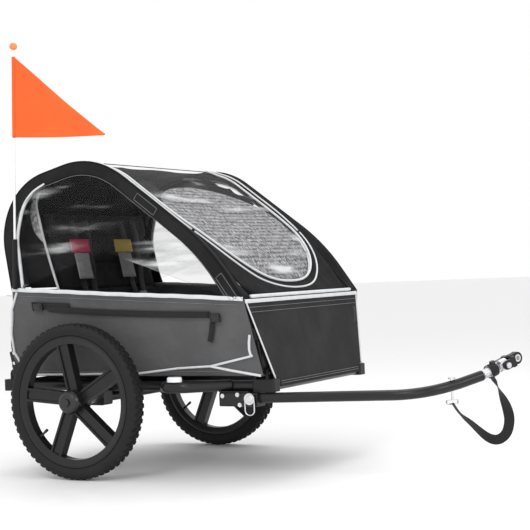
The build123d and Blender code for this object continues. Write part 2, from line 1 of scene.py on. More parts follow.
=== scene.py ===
"""A child bicycle trailer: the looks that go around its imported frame."""

from math import atan2, cos, hypot, pi, radians, sin

import bmesh
import bpy
import numpy as np
from mathutils import Matrix, Vector, noise


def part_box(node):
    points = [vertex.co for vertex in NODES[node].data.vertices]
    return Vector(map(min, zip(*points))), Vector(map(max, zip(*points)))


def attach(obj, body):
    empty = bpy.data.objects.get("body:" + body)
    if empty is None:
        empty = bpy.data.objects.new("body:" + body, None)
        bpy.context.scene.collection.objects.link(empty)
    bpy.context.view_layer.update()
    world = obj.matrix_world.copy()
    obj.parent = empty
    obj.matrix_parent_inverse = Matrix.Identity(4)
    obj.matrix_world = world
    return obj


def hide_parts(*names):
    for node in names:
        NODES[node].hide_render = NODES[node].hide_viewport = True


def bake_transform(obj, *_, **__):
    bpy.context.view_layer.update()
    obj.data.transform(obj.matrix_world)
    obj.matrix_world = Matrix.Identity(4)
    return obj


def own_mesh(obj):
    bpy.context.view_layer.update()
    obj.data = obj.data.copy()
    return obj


bl_info = {
    "name": "Child bicycle trailer",
    "version": (1, 0, 0),
    "blender": (4, 5, 0),
    "location": "View3D > Sidebar > Trailer",
    "description": "Cloth, film, rubber and finishes for a child bicycle trailer",
    "category": "Object",
}

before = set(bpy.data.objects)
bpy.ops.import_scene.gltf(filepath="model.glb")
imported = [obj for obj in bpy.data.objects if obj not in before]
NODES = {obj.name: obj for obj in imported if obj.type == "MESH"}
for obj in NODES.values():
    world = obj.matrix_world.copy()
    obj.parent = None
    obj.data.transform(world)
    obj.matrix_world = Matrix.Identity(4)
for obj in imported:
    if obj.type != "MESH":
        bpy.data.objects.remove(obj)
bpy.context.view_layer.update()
MM = 0.001

# ---- places, read from the frame ----
RIM_LOW, RIM_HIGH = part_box("right_rim")
AXLE_X = (RIM_LOW.x + RIM_HIGH.x) / 2
AXLE_Z = (RIM_LOW.z + RIM_HIGH.z) / 2
WINDOW_LOW, WINDOW_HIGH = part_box("right_side_window")
HALF_W = -WINDOW_LOW.y  # the cabin's half width from the waist up
PANEL_LOW, PANEL_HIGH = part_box("right_side_panel")
HEM_Z = PANEL_LOW.z
RAIL_LOW, RAIL_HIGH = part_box("right_rail")
RAIL_Y = (RAIL_LOW.y + RAIL_HIGH.y) / -2
SIDES = {"right": -1, "left": 1}


def window_points():
    """The side window's outer edge as the frame has it, from the rear waist up and over to the front."""
    skin = [v.co for v in NODES["right_side_window"].data.vertices if v.co.y < WINDOW_LOW.y + MM]
    flat = sorted({(round(p.x, 5), round(p.z, 5)) for p in skin})
    middle_x = (WINDOW_LOW.x + WINDOW_HIGH.x) / 2
    middle_z = WINDOW_LOW.z + 0.3 * (WINDOW_HIGH.z - WINDOW_LOW.z)
    around = [((atan2(z - middle_z, x - middle_x) + pi / 2) % (2 * pi), x, z) for x, z in flat]
    around.sort(reverse=True)
    return [(x, z) for _, x, z in around]


class Outline:
    """The cabin's side view: a point and an outward direction at any distance along it."""

    def __init__(self, points):
        self.points = np.array(points)
        steps = np.hypot(*np.diff(self.points, axis=0).T)
        self.along = np.concatenate([[0], np.cumsum(steps)])
        self.length = float(self.along[-1])

    def at(self, s):
        s = min(max(s, 0), self.length)
        return [float(np.interp(s, self.along, self.points[:, k])) for k in (0, 1)]

    def out(self, s):
        a, b = self.at(s - 0.012), self.at(s + 0.012)
        run = hypot(b[0] - a[0], b[1] - a[1])
        return (-(b[1] - a[1]) / run, (b[0] - a[0]) / run)

    def point(self, s, lift=0.0):
        (x, z), (nx, nz) = self.at(s), self.out(s)
        return x + nx * lift, z + nz * lift

    def where_x(self, x):
        """The distance along the upper part at which the outline reaches that x."""
        top = int(np.argmax(self.points[:, 1]))
        return float(np.interp(x, self.points[top:, 0], self.along[top:]))


OUTLINE = Outline(window_points())
WAIST_REAR, WAIST_FRONT = OUTLINE.at(0), OUTLINE.at(OUTLINE.length)
HINGE_S = OUTLINE.where_x(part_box("front_cover")[0].x)


def waist_z(x):
    share = (x - WAIST_REAR[0]) / (WAIST_FRONT[0] - WAIST_REAR[0])
    return WAIST_REAR[1] + share * (WAIST_FRONT[1] - WAIST_REAR[1])


SIDE_SLOPE = 0.248


def side_y(x, z):
    """How far out the flared lower side's outer face is."""
    return HALF_W - SIDE_SLOPE * max(0.0, waist_z(x) - z)


def ax(x, y, z):
    """A point stated from the axle's middle along X and from the ground, in millimetres."""
    return Vector((AXLE_X + x * MM, y * MM, z * MM))


# ---- shader building ----
class Value:
    """A shader socket that can be added, subtracted and multiplied."""

    def __init__(self, finish, socket):
        self.finish, self.socket = finish, socket

    def _sum(self, operation, a, b):
        return self.finish.node("ShaderNodeMath", {"operation": operation}, {0: a, 1: b})

    def __add__(self, other):
        return self._sum("ADD", self, other)

    __radd__ = __add__

    def __sub__(self, other):
        return self._sum("SUBTRACT", self, other)

    def __rsub__(self, other):
        return self._sum("SUBTRACT", other, self)

    def __mul__(self, other):
        return self._sum("MULTIPLY", self, other)

    __rmul__ = __mul__


class Finish:
    """One material, built up node by node."""

    def __init__(self, name, **constants):
        self.material = bpy.data.materials.new(name)
        self.material.use_nodes = True
        self.tree = self.material.node_tree
        self.tree.nodes.clear()
        self.shader = self.tree.nodes.new("ShaderNodeBsdfPrincipled")
        output = self.tree.nodes.new("ShaderNodeOutputMaterial")
        self.tree.links.new(self.shader.outputs[0], output.inputs[0])
        for socket, value in constants.items():
            self.put(self.shader, socket.replace("_", " "), value)

    def put(self, node, socket, value):
        target = node.inputs[socket]
        if isinstance(value, Value):
            self.tree.links.new(value.socket, target)
        elif target.type == "RGBA" and len(value) == 3:
            target.default_value = (*value, 1)
        else:
            target.default_value = value

    def node(self, kind, settings=None, sockets=None, out=0):
        node = self.tree.nodes.new(kind)
        for name, value in (settings or {}).items():
            if name == "stops":
                for element, (place, shade) in zip(node.color_ramp.elements, value):
                    element.position, element.color = place, (shade, shade, shade, 1)
            else:
                setattr(node, name, value)
        for socket, value in (sockets or {}).items():
            self.put(node, socket, value)
        return Value(self, node.outputs[out])

    def set(self, socket, value):
        self.put(self.shader, socket, value)
        return self

    def place(self):
        return self.node("ShaderNodeTexCoord", out=3)

    def axis(self, which):
        node = self.tree.nodes.new("ShaderNodeSeparateXYZ")
        self.put(node, 0, self.place())
        return Value(self, node.outputs[which])

    def noise(self, scale, detail=3.0, rough=0.55, at=None):
        sockets = {"Vector": at or self.place(), "Scale": scale, "Detail": detail, "Roughness": rough}
        return self.node("ShaderNodeTexNoise", None, sockets)

    def wave(self, value, pitch):
        """A wave from 0 to 1 along a length in metres."""
        return self.node("ShaderNodeMath", {"operation": "SINE"}, {0: value * (2 * pi / pitch)}) * 0.5 + 0.5

    def spread(self, value, low, high):
        """A value from 0 to 1 sharpened between two levels."""
        return self.node("ShaderNodeMapRange", {"interpolation_type": "SMOOTHSTEP"},
                         {0: value, 1: low, 2: high, 3: 0.0, 4: 1.0})

    def mix(self, share, a, b):
        return self.node("ShaderNodeMix", {"data_type": "RGBA"}, {0: share, 6: a, 7: b}, out=2)

    def bump(self, height, distance, strength=1.0):
        sockets = {"Height": height, "Distance": distance, "Strength": strength}
        self.set("Normal", self.node("ShaderNodeBump", None, sockets))
        return self


def shade(colour, by):
    return tuple(min(1.0, c * by) for c in colour)


def woven(name, colour, light=1.5, rough=0.88, thread=0.0011, wrinkle=14, depth=0.0012, **constants):
    """Plain woven cloth: crossing threads, a slightly uneven dye and soft wear."""
    f = Finish(name, **{"Sheen_Weight": 0.02, "Sheen_Roughness": 0.5, "Specular_IOR_Level": 0.12,
                        **constants})
    threads = f.wave(f.axis(0) + f.axis(1), thread) * f.wave(f.axis(2) - f.axis(1) * 0.5, thread)
    fine = f.noise(700, 2)
    broad = f.spread(f.noise(wrinkle, 4, 0.6), 0.35, 0.68)
    f.set("Base Color", f.mix(broad * 0.55 + fine * 0.45, shade(colour, 1 / light), shade(colour, light)))
    f.set("Roughness", broad * -0.1 + rough + 0.05)
    return f.bump(threads * 0.12 + fine * 0.12 + broad * 1.0, depth)


def moulded(name, colour, rough=0.42, grain=900, depth=0.00012, wear=0.25, **constants):
    """Moulded plastic or rubber with a fine grain and a little dust."""
    f = Finish(name, **constants)
    fine, broad = f.noise(grain, 3), f.spread(f.noise(22, 4), 0.42, 0.75)
    f.set("Base Color", f.mix(broad * wear, colour, shade(colour, 2.2)))
    f.set("Roughness", broad * 0.16 + fine * 0.08 + (rough - 0.08))
    return f.bump(fine, depth)


def painted(name, colour):
    """Satin powder coat: a faint orange peel, duller where it is handled."""
    f = Finish(name, Specular_IOR_Level=0.35, Coat_Weight=0.06, Coat_Roughness=0.25)
    peel, broad = f.noise(420, 2), f.spread(f.noise(18, 5, 0.7), 0.45, 0.75)
    f.set("Base Color", f.mix(broad * 0.4, colour, shade(colour, 1.9)))
    f.set("Roughness", broad * 0.2 + 0.32)
    return f.bump(peel, 0.00008)


def plated(name, colour, rough=0.28):
    """Bright zinc plate with fine scratches and a cloudy dulling."""
    f = Finish(name, Metallic=1.0)
    cloud, scratch = f.noise(60, 5, 0.65), f.noise(1500, 2)
    f.set("Base Color", f.mix(f.spread(cloud, 0.4, 0.7) * 0.5, colour, shade(colour, 0.72)))
    f.set("Roughness", cloud * 0.25 + scratch * 0.1 + (rough - 0.14))
    return f.bump(scratch, 0.00004)


def film(name, tint, alpha, highlight_streak_alpha=0.2, turn=0.45):
    """Clear film: see-through, glossy, with a few long pale streaks in its colour and opacity, partly painted
    highlights and partly whitened creases where it has been rolled up.
    """
    f = Finish(name, IOR=1.45, Coat_Weight=0.3, Coat_Roughness=0.06, Specular_IOR_Level=0.35)
    stretched = f.node("ShaderNodeMapping", None, {"Vector": f.place(), "Scale": (3.0, 4.0, 24.0),
            "Rotation": (0.1, turn, 0.1)})
    streak = f.spread(f.noise(1.0, 3, 0.45, at=stretched), 0.56, 0.74)
    # Painted highlight: where the streak mask is high, the film turns pale and more opaque, standing for
    # highlight streaks and partly for whitened creases.
    f.set("Base Color", f.mix(streak, tint, (0.80, 0.81, 0.82)))
    f.set("Alpha", streak * highlight_streak_alpha + alpha)
    f.set("Roughness", streak * 0.15 + 0.12)
    return f.bump(f.noise(0.8, 2, 0.4, at=stretched), 0.004, 0.35)


def screen(name, dark, pale):
    """Insect screen: a tweedy net of pale threads over a dark inside, in short dashes down the slope."""
    f = Finish(name, Roughness=0.85, Specular_IOR_Level=0.1)
    down = f.node("ShaderNodeMapping", None, {"Vector": f.place(), "Scale": (95.0, 210.0, 95.0)})
    dashes = f.noise(1.0, 2.0, 0.6, at=down)
    rows = f.wave(f.axis(1), 0.0096) * f.wave(f.axis(0) - f.axis(2), 0.021)
    net = f.spread(dashes + rows * 0.20, 0.44, 0.70)
    f.set("Base Color", f.mix(net, dark, pale))
    return f.bump(net, 0.0004)


def webbing(name, colour):
    """Ribbed nylon webbing."""
    f = Finish(name, Sheen_Weight=0.05, Specular_IOR_Level=0.25)
    ribs = f.wave(f.axis(0) + f.axis(2) * 0.7, 0.0021)
    fine = f.noise(500, 3)
    f.set("Base Color", f.mix(ribs * 0.5 + fine * 0.5, shade(colour, 0.6), shade(colour, 2.0)))
    f.set("Roughness", fine * 0.2 + 0.55)
    return f.bump(ribs, 0.0005)


FINISHES = {}


def build_finishes():
    made = {
        "black_cloth": woven("black_cloth", (0.0075, 0.0075, 0.008), 1.45),
        "side_cloth": woven("side_cloth", (0.098, 0.098, 0.101), 1.18, wrinkle=9, depth=0.0018),
        # Painted shade: the front panel's cloth is the grey side cloth made darker, standing for the shade that
        # falls on the front.
        "front_cloth": woven("front_cloth", (0.026, 0.026, 0.027), 1.22, wrinkle=8, depth=0.0016),
        "band_cloth": woven("band_cloth", (0.015, 0.015, 0.0155), 1.3),
        "floor_cloth": woven("floor_cloth", (0.02, 0.02, 0.02), 1.3),
        "seat_cloth": woven("seat_cloth", (0.017, 0.017, 0.0175), 1.4, wrinkle=20),
        "piping_white": woven("piping_white", (0.62, 0.63, 0.64), 1.08, rough=0.6, wrinkle=40, depth=0.0004),
        "stitching": woven("stitching", (0.20, 0.20, 0.205), 1.2, wrinkle=60, depth=0.0003),
        "pale_mesh": screen("pale_mesh", (0.22, 0.22, 0.22), (0.55, 0.55, 0.55)),
        "insect_screen": screen("insect_screen", (0.07, 0.07, 0.072), (0.46, 0.46, 0.47)),
        # The fourth value is the strength of each film's painted highlight streaks.
        "window_film": film("window_film", (0.05, 0.05, 0.052), 0.06, 0.42, -0.6),
        "rain_film": film("rain_film", (0.3, 0.3, 0.31), 0.05, 0.5, 0.75),
        "webbing_black": webbing("webbing_black", (0.008, 0.008, 0.0085)),
        "label_red": woven("label_red", (0.62, 0.05, 0.12), 1.1, wrinkle=60, depth=0.0003),
        "label_yellow": woven("label_yellow", (0.62, 0.46, 0.05), 1.1, wrinkle=60, depth=0.0003),
        "label_grey": woven("label_grey", (0.3, 0.3, 0.3), 1.2, wrinkle=80, depth=0.0003),
        "flag_orange": woven("flag_orange", (0.95, 0.13, 0.03), 1.12, rough=0.7, wrinkle=7, depth=0.0008),
        "tyre_rubber": moulded("tyre_rubber", (0.011, 0.011, 0.0115), 0.72, 600, 0.0002, 0.5,
                               Specular_IOR_Level=0.25),
        "tube_rubber": moulded("tube_rubber", (0.02, 0.02, 0.02), 0.6),
        "rim_plastic": moulded("rim_plastic", (0.008, 0.008, 0.0085), 0.36, 700, 0.0001, 0.35,
                               Specular_IOR_Level=0.35),
        "cap_plastic": moulded("cap_plastic", (0.010, 0.010, 0.0105), 0.3),
        "corner_plastic": moulded("corner_plastic", (0.009, 0.009, 0.0095), 0.5, Specular_IOR_Level=0.3),
        "buckle_plastic": moulded("buckle_plastic", (0.008, 0.008, 0.0085), 0.3),
        "reflector_white": moulded("reflector_white", (0.72, 0.73, 0.74), 0.2, 300, 0.0003, 0.1,
                                   Coat_Weight=0.5),
        "pole_white": moulded("pole_white", (0.78, 0.78, 0.77), 0.3, 500, 0.00005, 0.1),
        "ball_orange": moulded("ball_orange", (0.85, 0.24, 0.06), 0.35, 500, 0.00005, 0.1),
        "frame_black": painted("frame_black", (0.007, 0.007, 0.0075)),
        "zinc": plated("zinc", (0.72, 0.72, 0.74)),
        "floor_pale": moulded("floor_pale", (0.86, 0.86, 0.86), 0.6, 50, 0.0, 0.02),
    }
    FINISHES.update({name: finish.material for name, finish in made.items()})


# ---- mesh building ----
def add(name, verts, faces, finish, smooth=True):
    """A mesh object in the row frame."""
    mesh = bpy.data.meshes.new(name)
    mesh.from_pydata([tuple(v) for v in verts], [], faces)
    mesh.validate()
    mesh.materials.append(FINISHES[finish])
    mesh.polygons.foreach_set("use_smooth", [smooth] * len(mesh.polygons))
    piece = bpy.data.objects.new(name, mesh)
    bpy.context.scene.collection.objects.link(piece)
    work = bmesh.new()
    work.from_mesh(mesh)
    bmesh.ops.recalc_face_normals(work, faces=work.faces)
    work.to_mesh(mesh)
    work.free()
    return piece


def bake(piece):
    """Applies a piece's modifiers to its mesh."""
    bpy.context.view_layer.update()
    graph = bpy.context.evaluated_depsgraph_get()
    mesh = bpy.data.meshes.new_from_object(piece.evaluated_get(graph))
    piece.modifiers.clear()
    piece.data = mesh
    return piece


def thicken(piece, thickness, bevel=0.0):
    wall = piece.modifiers.new("wall", "SOLIDIFY")
    wall.thickness, wall.offset = thickness, 0.0
    if bevel:
        edge = piece.modifiers.new("edge", "BEVEL")
        edge.width, edge.segments = bevel, 2
    return bake(piece)


def cloth(name, surface, nu, nv, finish, thickness=0.0012):
    """A sheet of cloth from surface(u, v). Its flat size is worked out from its own grid, its longest row and
    column, and not from a known cut. Where the grid fans out, the length is cut down to LEAST_AREA_SHARE."""
    verts = [surface(i / nu, j / nv) for j in range(nv + 1) for i in range(nu + 1)]
    faces = []
    for j in range(nv):
        for i in range(nu):
            a = j * (nu + 1) + i
            faces.append((a, a + 1, a + nu + 2, a + nu + 1))
    piece = add(name, verts, faces, finish)
    width = max(sum((verts[j * (nu + 1) + i + 1] - verts[j * (nu + 1) + i]).length for i in range(nu))
                for j in range(nv + 1))
    tall = max(sum((verts[(j + 1) * (nu + 1) + i] - verts[j * (nu + 1) + i]).length for j in range(nv))
               for i in range(nu + 1))
    thicken(piece, thickness)
    return piece


def tube(name, points, radius, finish, sides=8, closed=False):
    """A piping, stitch or wire as a mesh tube through points."""
    points = [Vector(p) for p in points]
    count = len(points)
    verts, faces = [], []
    up = Vector((0.13, 0.21, 0.97)).normalized()
    for n, p in enumerate(points):
        if closed:
            run = points[(n + 1) % count] - points[n - 1]
        else:
            run = points[min(n + 1, count - 1)] - points[max(n - 1, 0)]
        run.normalize()
        side = run.cross(up)
        side = side.normalized() if side.length > 0.05 else run.cross(Vector((0, 1, 0))).normalized()
        top = side.cross(run).normalized()
        up = top
        for k in range(sides):
            turn = 2 * pi * k / sides
            verts.append(p + side * cos(turn) * radius + top * sin(turn) * radius)
    rings = count if closed else count - 1
    for n in range(rings):
        for k in range(sides):
            a, b = n * sides + k, n * sides + (k + 1) % sides
            c, d = ((n + 1) % count) * sides + (k + 1) % sides, ((n + 1) % count) * sides + k
            faces.append((a, b, c, d))
    if not closed:
        faces += [tuple(range(sides)), tuple(range((count - 1) * sides, count * sides))]
    return add(name, verts, faces, finish)


def spline(points, count):
    """A smooth curve through points, sampled evenly."""
    pts = [Vector(p) for p in points]
    out = []
    for n in range(count):
        t = (len(pts) - 1) * n / (count - 1)
        k = min(int(t), len(pts) - 2)
        f = t - k
        a, b, c, d = pts[max(k - 1, 0)], pts[k], pts[k + 1], pts[min(k + 2, len(pts) - 1)]
        out.append(0.5 * ((2 * b) + (c - a) * f + (2 * a - 5 * b + 4 * c - d) * f ** 2
                          + (3 * b - a - 3 * c + d) * f ** 3))
    return out


def ribbon(name, points, normals, width, thickness, finish):
    """A flat strap through points: width lies square to the run and to the normal."""
    verts, faces = [], []
    points = [Vector(p) for p in points]
    count = len(points)
    for n, (p, normal) in enumerate(zip(points, normals)):
        run = (points[min(n + 1, count - 1)] - points[max(n - 1, 0)]).normalized()
        normal = (Vector(normal) - run * run.dot(Vector(normal))).normalized()
        across_ = run.cross(normal)
        for a, b in ((-1, -0.5), (-0.86, -1), (0.86, -1), (1, -0.5), (1, 0.5), (0.86, 1), (-0.86, 1),
                     (-1, 0.5)):
            verts.append(p + across_ * (a * width / 2) + normal * (b * thickness / 2))
    for n in range(count - 1):
        for k in range(8):
            a, b = n * 8 + k, n * 8 + (k + 1) % 8
            faces.append((a, b, b + 8, a + 8))
    faces += [tuple(range(8)), tuple(range((count - 1) * 8, count * 8))]
    return add(name, verts, faces, finish)


def block(name, centre, size, finish, bevel, turn=None):
    """A moulded block with rounded edges."""
    work = bmesh.new()
    bmesh.ops.create_cube(work, size=1)
    for v in work.verts:
        v.co = Vector((v.co.x * size[0], v.co.y * size[1], v.co.z * size[2]))
        v.co = (turn @ v.co if turn else v.co) + Vector(centre)
    bmesh.ops.bevel(work, geom=list(work.edges), offset=bevel, segments=3, affect="EDGES", profile=0.6)
    mesh = bpy.data.meshes.new(name)
    work.to_mesh(mesh)
    work.free()
    mesh.materials.append(FINISHES[finish])
    mesh.polygons.foreach_set("use_smooth", [True] * len(mesh.polygons))
    piece = bpy.data.objects.new(name, mesh)
    bpy.context.scene.collection.objects.link(piece)
    return piece


def joined(name, pieces):
    """Several like pieces as one object."""
    work = bmesh.new()
    for piece in pieces:
        work.from_mesh(piece.data)
    mesh = bpy.data.meshes.new(name)
    work.to_mesh(mesh)
    work.free()
    mesh.materials.append(pieces[0].data.materials[0])
    for piece in pieces:
        bpy.data.objects.remove(piece)
    whole = bpy.data.objects.new(name, mesh)
    bpy.context.scene.collection.objects.link(whole)
    return whole


STITCH_RADIUS, STITCH_SIDES = 0.0006, 6


def with_fold(piece, body="root"):
    """Cabin cloth: it is attached to the body's empty and given a mesh of its own."""
    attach(piece, body)
    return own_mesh(piece)


def on_arch(piece, side):
    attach(piece, f"{side}_arch")
    return piece


def between(piece, side):
    """Lower side cloth: its transform is baked into its mesh where it stands."""
    y = SIDES[side] * RAIL_Y
    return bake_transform(piece, "root", f"{side}_arch", start=(0, y, HEM_Z), end=(0, y, waist_z(AXLE_X + 0.1)))


def ripple(p, scale, size, seed=0.0):
    """A smooth, repeatable bulge for slack cloth."""
    at = Vector((p[0] * scale[0] + seed, p[1] * scale[1], p[2] * scale[2]))
    return (noise.noise(at) + 0.4 * noise.noise(at * 2.3)) * size


# ---- running gear ----
PLAIN_NODES = {
    "rim_plastic": ["right_rim", "left_rim"],
    "cap_plastic": ["right_hub_cap", "left_hub_cap", "right_axle_button", "left_axle_button", "yaw_pin"],
    "tube_rubber": ["right_inner_tube", "left_inner_tube"],
    "frame_black": ["right_rail", "left_rail", "right_arch", "left_arch", "rear_cross_tube",
                    "front_cross_tube",
                    "axle_beam", "axle_brackets", "wheel_guards", "tow_bar", "tow_receiver", "hitch_arm"],
    "corner_plastic": ["rear_corners", "front_corners"],
    "reflector_white": ["guard_reflectors"],
    "zinc": ["right_bearings", "left_bearings", "right_axle", "left_axle", "hinge_pins", "receiver_bolts",
             "hitch_pin", "wire_lock", "strap_ring", "flex_spring", "hitch_fork", "hitch_swivel",
             "pitch_bolt",
             "axle_bushing"],
    "pole_white": ["flag_pole"],
    "webbing_black": ["flag_sleeve"],
    "buckle_plastic": ["harness_buckles"],
}


def finish_nodes():
    """The frame's own pieces whose shape is right keep it, and get their finish."""
    for finish, names in PLAIN_NODES.items():
        for name in names:
            data = NODES[name].data
            data.materials.clear()
            data.materials.append(FINISHES[finish])
            data.set_sharp_from_angle(angle=radians(32))


TREAD_ROWS = ((-0.80, 0.5, 0.34, 1.0), (-0.30, 0.0, 0.40, 0.72), (0.30, 0.5, 0.40, 0.72),
              (0.80, 0.0, 0.34, 1.0))


def make_tyre(side):
    """A tyre: its carcass turned from a profile, and rows of tread knobs around it."""
    low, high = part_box(f"{side}_tyre")
    y_mid, half = (low.y + high.y) / 2, (high.y - low.y) / 2
    radius = (high.z - low.z) / 2
    bead = (RIM_HIGH.z - RIM_LOW.z) / 2 - 6 * MM
    base = radius - 3.2 * MM
    section = [(bead, -0.64), (bead + 7 * MM, -0.68), (bead + 9 * MM, -0.84), (bead + 12 * MM, -0.86),
               (bead + 18 * MM, -0.97),
               (bead + 21 * MM, -1.0), (base - 9 * MM, -0.97), (base - 3 * MM, -0.80),
               (base - 0.5 * MM, -0.45), (base, 0.0)]
    section += [(r, -y) for r, y in reversed(section[:-1])]
    verts, faces, turns = [], [], 160
    knobs = wheel_props().knobs
    for n in range(turns):
        a = 2 * pi * n / turns
        for r, y in section:
            verts.append((AXLE_X + r * sin(a), y_mid + y * half, AXLE_Z + r * cos(a)))
    wide = len(section)
    for n in range(turns):
        for k in range(wide - 1):
            m = (n + 1) % turns
            faces.append((n * wide + k, n * wide + k + 1, m * wide + k + 1, m * wide + k))
    for place, phase, width, length in TREAD_ROWS:
        drop = 4.0 * MM * abs(place) ** 3
        for n in range(knobs):
            a = 2 * pi * (n + phase) / knobs
            step = length * pi / knobs * 0.62
            start = len(verts)
            lean = 0.12 if place > 0 else -0.12
            for out, tight in ((-2.5 * MM, 1.12), (3.2 * MM, 0.84)):
                for da, dy in ((-1, -1), (1, -1), (1, 1), (-1, 1)):
                    y = y_mid + (place * 0.86 + dy * width * 0.40 * tight) * half * 0.94
                    turn = a + da * step * tight + dy * lean * step
                    r = base + out - drop
                    verts.append((AXLE_X + r * sin(turn), y, AXLE_Z + r * cos(turn)))
            faces += [tuple(start + k for k in q) for q in ((4, 5, 6, 7), (0, 1, 5, 4), (1, 2, 6, 5),
                                                            (2, 3, 7, 6),
                                                             (3, 0, 4, 7), (3, 2, 1, 0))]
    piece = add(f"{side}_knobbly_tyre", verts, faces, "tyre_rubber")
    piece.data.set_sharp_from_angle(angle=radians(38))
    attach(piece, f"{side}_wheel")
    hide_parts(f"{side}_tyre")


def make_corner_covers():
    """Moulded brackets over the feet of the arches, each with two bolts through it."""
    for side, sign in SIDES.items():
        low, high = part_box(f"{side}_arch")
        for end, x, lean, tall in (("rear", low.x + 12.5 * MM, 0.33, 0.075),
                                   ("front", high.x - 12.5 * MM, -0.11, 0.105)):
            z0, y0 = low.z + 26 * MM, sign * RAIL_Y
            points = [Vector((x + lean * t * 0.8, y0 + sign * t * 0.28, z0 + t))
                      for t in np.linspace(0, tall, 9)]
            shell = tube("shell", points, 1.0, "corner_plastic", sides=20)
            for n, centre in enumerate(points):
                share = n / 8
                r = 0.0172 - 0.002 * share + 0.0016 * (n in (1, 2, 7)) - 0.0012 * (n in (0, 8))
                for v in list(shell.data.vertices)[n * 20:(n + 1) * 20]:
                    v.co = centre + (v.co - centre) * r
            tilt = Matrix.Rotation(-sign * 0.27, 3, "X")
            tab = block("tab", points[3] + Vector((0, sign * 0.012, 0)), (0.026, 0.012, tall * 0.62),
                        "corner_plastic", 0.003, tilt)
            boot = joined(f"{side}_{end}_arch_boot", [shell, tab])
            on_arch(boot, side)
            heads = [block("bolt", points[k] + Vector((0, sign * 0.0195, 0)), (0.009, 0.005, 0.009), "zinc",
                           0.0022, tilt) for k in (2, 5)]
            on_arch(joined(f"{side}_{end}_boot_bolts", heads), side)


# ---- cabin ----
REAR_PIPING = [(-94, 776), (-137, 755), (-169, 719), (-187, 668), (-194, 630), (-191, 591), (-187, 548),
               (-183, 503)]


def make_side_window(side):
    """The clear side window, its black border, its pipings and its stitching."""
    sign = SIDES[side]
    y = sign * HALF_W
    border, n_along = 0.040, 90

    def rim_point(s, inward, out=0.0):
        x, z = OUTLINE.point(s * OUTLINE.length, -inward)
        return Vector((x, y + sign * out, max(z, waist_z(x))))

    edge = [rim_point(k / n_along, border * 0.85) for k in range(n_along + 1)]
    middle = Vector((sum(p.x for p in edge) / len(edge), y, waist_z(AXLE_X + 0.1) + 0.11))

    def pane(u, v):
        p = edge[min(int(round(u * n_along)), n_along)]
        at = middle.lerp(p, v)
        base = Vector((at.x, y, max(at.z, waist_z(at.x) + 0.001)))
        slack = (1 - v ** 3) * (ripple(base, (7, 1, 15), cloth_props().film_slack, 3.1 * sign)
                                + ripple(base, (19, 1, 44), 0.0022, 8))
        base.y -= sign * (0.0045 + abs(slack))
        return base

    glass = cloth(f"{side}_side_window_film", pane, n_along, 26, "window_film",
                  0.0006)
    on_arch(glass, side)
    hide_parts(f"{side}_side_window")

    def trim(u, v):
        p = rim_point(u, v * border * (1 - 0.15 * sin(pi * u)))
        p.y += sign * 0.002 * sin(pi * v)
        return p

    hem = cloth(f"{side}_window_border", trim, n_along, 6, "band_cloth",
                0.0016)
    on_arch(hem, side)
    stitch = [rim_point(k / 120, border - 0.004, 0.0018) for k in range(3, 118)]
    on_arch(tube(f"{side}_window_stitch", stitch, STITCH_RADIUS, "stitching", STITCH_SIDES), side)
    outer = [rim_point(k / 120, 0.001, 0.0006) for k in range(121)]
    on_arch(tube(f"{side}_arch_welt", outer, 0.0022, "black_cloth", 8), side)
    rear = spline([ax(x, sign * 324.5, z) for x, z in REAR_PIPING], 40)
    on_arch(tube(f"{side}_window_piping", rear, 0.0046, "piping_white", 10), side)
    for share, place in ((0.665, "upper"), (0.955, "lower")):
        s = share * OUTLINE.length
        (x, z), (nx, nz) = OUTLINE.at(s), OUTLINE.out(s)
        tx, tz = nz, -nx
        corners = []
        for a, b in ((-1, -1), (1, -1), (1, 1), (-1, 1), (-1, -1)):
            corners.append(Vector((x - nx * (0.019 + b * 0.010) + tx * a * 0.036, y + sign * 0.0026,
                                   z - nz * (0.019 + b * 0.010) + tz * a * 0.036)))
        dense = [corners[k].lerp(corners[k + 1], t / 6) for k in range(4) for t in range(6)]
        on_arch(tube(f"{side}_tab_stitch_{place}", dense, STITCH_RADIUS, "stitching", STITCH_SIDES,
                     closed=True), side)


def make_waist(side):
    """The pale piping round the waist, on the side of the cabin."""
    sign = SIDES[side]
    points, normals = [], []
    for k in range(61):
        x = WAIST_REAR[0] + (WAIST_FRONT[0] - WAIST_REAR[0]) * k / 60
        sag = 0.0004 * sin(k * 0.9) + 0.0006 * sin(k * 0.17)
        points.append((x, sign * (HALF_W + 0.0012), waist_z(x) + sag))
        normals.append((0, sign, 0))
    on_arch(ribbon(f"{side}_waist_piping", points, normals, 0.0105, 0.0028, "piping_white"), side)


def side_point(sign, x, z, out=0.0):
    return Vector((x, sign * (side_y(x, z) + out), z))


def panel_edges(t):
    """The lower side's front and rear edges at a share of its height: (rear x, front x)."""
    rear_low, front_low = PANEL_LOW.x + 0.022, PANEL_HIGH.x - 0.004
    round_rear = 0.026 * (1 - t) ** 4
    return (rear_low * (1 - t) + WAIST_REAR[0] * t - 0.02 * sin(pi * min(t * 1.6, 1)) + round_rear,
            front_low * (1 - t) + WAIST_FRONT[0] * t)


